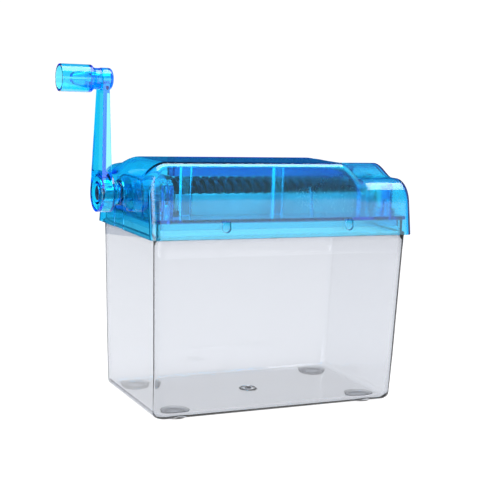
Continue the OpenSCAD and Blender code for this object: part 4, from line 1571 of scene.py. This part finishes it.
@dataclass
class Crank:
    """The crank arm, its screw and wall bush, the snap pin and the free-turning knob."""

    y: float = 8.5
    shaft_z: float = 128.8
    knob_z: float = 195.7
    knob_x: float = -80.4
    knob_tip_x: float = -105.0
    knob_r: float = 8.0
    knob_wall: float = 1.4
    neck_r: float = 6.2
    neck_l: float = 5.2
    pin_r: float = 3.5
    pin_head_r: float = 5.4
    pin_end_x: float = -75.1
    pin_tip_x: float = -98.2
    run_gap: float = 0.05
    wall_x: float = -67.0
    hub_x: float = -81.5
    hub_hollow: Flat = (5.2, 9.8)
    bush_flange: Flat = (7.5, 1.6)
    bush_body: Flat = (5.5, 3.0)

    def build(self) -> None:
        """Builds every piece of the crank."""
        softened("crank_arm", "crank_lever", Finish.CRANK, 0.4, 3, [self._hub_hollow()])
        softened("crank_screw", "hub_screw", Finish.BLUED_STEEL, 0.2)
        self._knob()
        self._pin()
        self._bush()

    def _hub_hollow(self) -> Skin:
        """The ring-shaped hollow in the hub, open towards the body."""
        x, (sleeve_r, rim_r) = self.hub_x, self.hub_hollow
        corners = [(x + 4.6, sleeve_r), (x + 2.2, sleeve_r + 1.8), (x + 2.2, rim_r), (x + 7.6, rim_r)]
        corners += [(x + 10.9, sleeve_r + 0.7), (x + 13.0, sleeve_r + 0.7), (x + 13.0, sleeve_r)]
        return Skin().turned(corners, self.y, self.shaft_z, 72, hollow=True)

    def _knob(self) -> None:
        """Turns the hollow knob with its neck."""
        floor_x = self.knob_x - self.neck_l - self.knob_wall
        shoulder_x = self.knob_x - self.neck_l
        bore = self.pin_r + self.run_gap
        corners = [(self.knob_x, bore, 0.3), (self.knob_x, self.neck_r, 0.7)]
        corners.append((shoulder_x + 1.2, self.neck_r, 0.9))
        corners += [(shoulder_x - 0.6, self.knob_r, 0.8), (self.knob_tip_x, self.knob_r, 0.5)]
        inner_r = self.knob_r - self.knob_wall
        corners += [(self.knob_tip_x, inner_r, 0.5), (floor_x, inner_r, 1.0)]
        corners += [(floor_x, bore, 0.3)]
        loop = filleted(corners, closed=True, steps=4)
        knob = Skin().turned(loop, self.y, self.knob_z, 96, hollow=True).piece("knob_shell", Finish.KNOB, 40)
        standing(knob, "crank_knob")

    def _pin(self) -> None:
        """Turns the pin with its bullet-shaped snap head and saws the slot that lets it close."""
        head_x = self.knob_x - self.neck_l - self.knob_wall - 0.2
        corners = [(self.pin_end_x, 2.3, 0.2), (self.pin_end_x, self.pin_r, 0.4), (head_x, self.pin_r, 0.2)]
        corners += [(head_x, self.pin_head_r, 0.3), (head_x - 2.4, self.pin_head_r - 0.1, 2.0)]
        corners += [(self.pin_tip_x + 1.6, 3.5, 2.5), (self.pin_tip_x, 2.2, 0.6), (self.pin_tip_x, 1.4, 0.2)]
        corners += [(self.pin_tip_x + 3.0, 2.2, 0.8), (head_x - 3.0, 3.4, 1.5), (head_x + 1.0, 2.3, 1.0)]
        loop = filleted(corners, closed=True, steps=5)
        pin = linked("snap_pin", Skin().turned(loop, self.y, self.knob_z, 72, hollow=True).mesh("snap_pin"))
        slot = [(self.pin_tip_x - 1, self.knob_z - 0.6), (head_x + 4, self.knob_z - 0.6)]
        slot += [(head_x + 4, self.knob_z + 0.6), (self.pin_tip_x - 1, self.knob_z + 0.6)]
        cut(pin, Skin().prism(slot, self.y - 8, self.y + 8, "y"))
        standing(shaded(pin, Finish.CRANK, 35), "knob_spindle")

    def _bush(self) -> None:
        """Turns the flanged bush that the hood's wall holds."""
        (flange_r, flange_t), (body_r, body_l) = self.bush_flange, self.bush_body
        bore = self.pin_r + self.run_gap
        corners = [(-flange_t, bore, 0.3), (-flange_t, flange_r, 0.5), (0, flange_r, 0)]
        corners += [(0, body_r, 0), (body_l, body_r, 0.4), (body_l, bore, 0.2)]
        loop = [(self.wall_x + u, r) for u, r in filleted(corners, closed=True, steps=3)]
        skin = Skin().turned(loop, self.y, self.shaft_z, 72, hollow=True)
        bush = skin.piece("wall_bearing", Finish.CRANK, 35)
        standing(bush, "crank_bush")


# --- Fasteners ------------------------------------------------------------------------


@dataclass
class Fasteners:
    """Cross-head screws: four up into the hood's posts, four down through the side plates."""

    centre_x: float = 19.0
    head_r: float = 2.8
    head_t: float = 1.9
    shank_r: float = 1.45
    thread: float = 0.22
    pitch: float = 0.9
    post: Flat = (73.0, 36.23)
    tab_x: Flat = (-70.0, 79.0)
    tab_y: float = 27.03
    rim_z: float = 116.5
    tab_top: float = 121.5

    def build(self) -> None:
        """Builds both sets of screws."""
        corners = [(sx, sy) for sx in (-1, 1) for sy in (-1, 1)]
        spots = [(self.centre_x + sx * self.post[0], sy * self.post[1], self.rim_z) for sx, sy in corners]
        posts = scattered("post_screws", self._screw(10.0, 1), spots, Finish.SCREW_STEEL, "Z", 3)
        standing(posts, "cover_screws")
        spots = [(self.centre_x + x, sy * self.tab_y, self.tab_top) for x in self.tab_x for sy in (-1, 1)]
        tabs = scattered("tab_screws", self._screw(4.8, -1), spots, Finish.SCREW_STEEL, "Z", 11)
        standing(tabs, "chassis_screws")

    def _screw(self, length: float, way: int) -> bpy.types.Object:
        """One screw with the underside of its head at the origin.

        Args:
            length: Length of its shank.
            way: 1 for a shank that points up, -1 for down.

        Returns:
            The screw.
        """
        r, t = self.head_r, self.head_t
        head = [(0.3, -t, 0), (r - 1.0, -t, 1.2), (r, -t * 0.55, 0.6), (r, 0.0, 0.1)]
        head.append((self.shank_r - self.thread, 0.0, 0))
        profile = filleted(head, steps=4)
        turns = int((length - 0.8) / self.pitch)
        for i in range(turns):
            z = 0.5 + i * self.pitch
            profile += [(self.shank_r - self.thread, z), (self.shank_r, z + self.pitch * 0.4)]
        profile += [(self.shank_r - self.thread, length - 0.3), (0.7, length), (0.3, length)]
        screw = linked("screw", Skin().raised([(u, way * z) for u, z in profile], 0, 0, 32).mesh("screw"))
        a, b = 0.35, 1.6
        cross = [(b, -a), (b, a), (a, a), (a, b), (-a, b), (-a, a)]
        cross += [(-b, a), (-b, -a), (-a, -a), (-a, -b), (a, -b), (a, -a)]
        low, high = sorted((-way * (t + 0.3), -way * (t - 0.8)))
        cut(screw, Skin().prism(cross, low, high))
        return screw


# --- Scene ----------------------------------------------------------------------------


def main() -> None:
    """Builds every sub-assembly, then the studio."""
    logging.basicConfig(level=logging.INFO, format="%(message)s")
    Bin().build()
    HeadCover().build()
    Chassis().build()
    Roller("drive", 8.5, -42.9, 22, Finish.DRIVE_STEEL).build()
    Roller("driven", -9.5, -39.9, 21, Finish.DRIVEN_STEEL).build()
    Bushes().build()
    Crank().build()
    Fasteners().build()
    Studio().build()


if __name__ == "__main__":
    main()
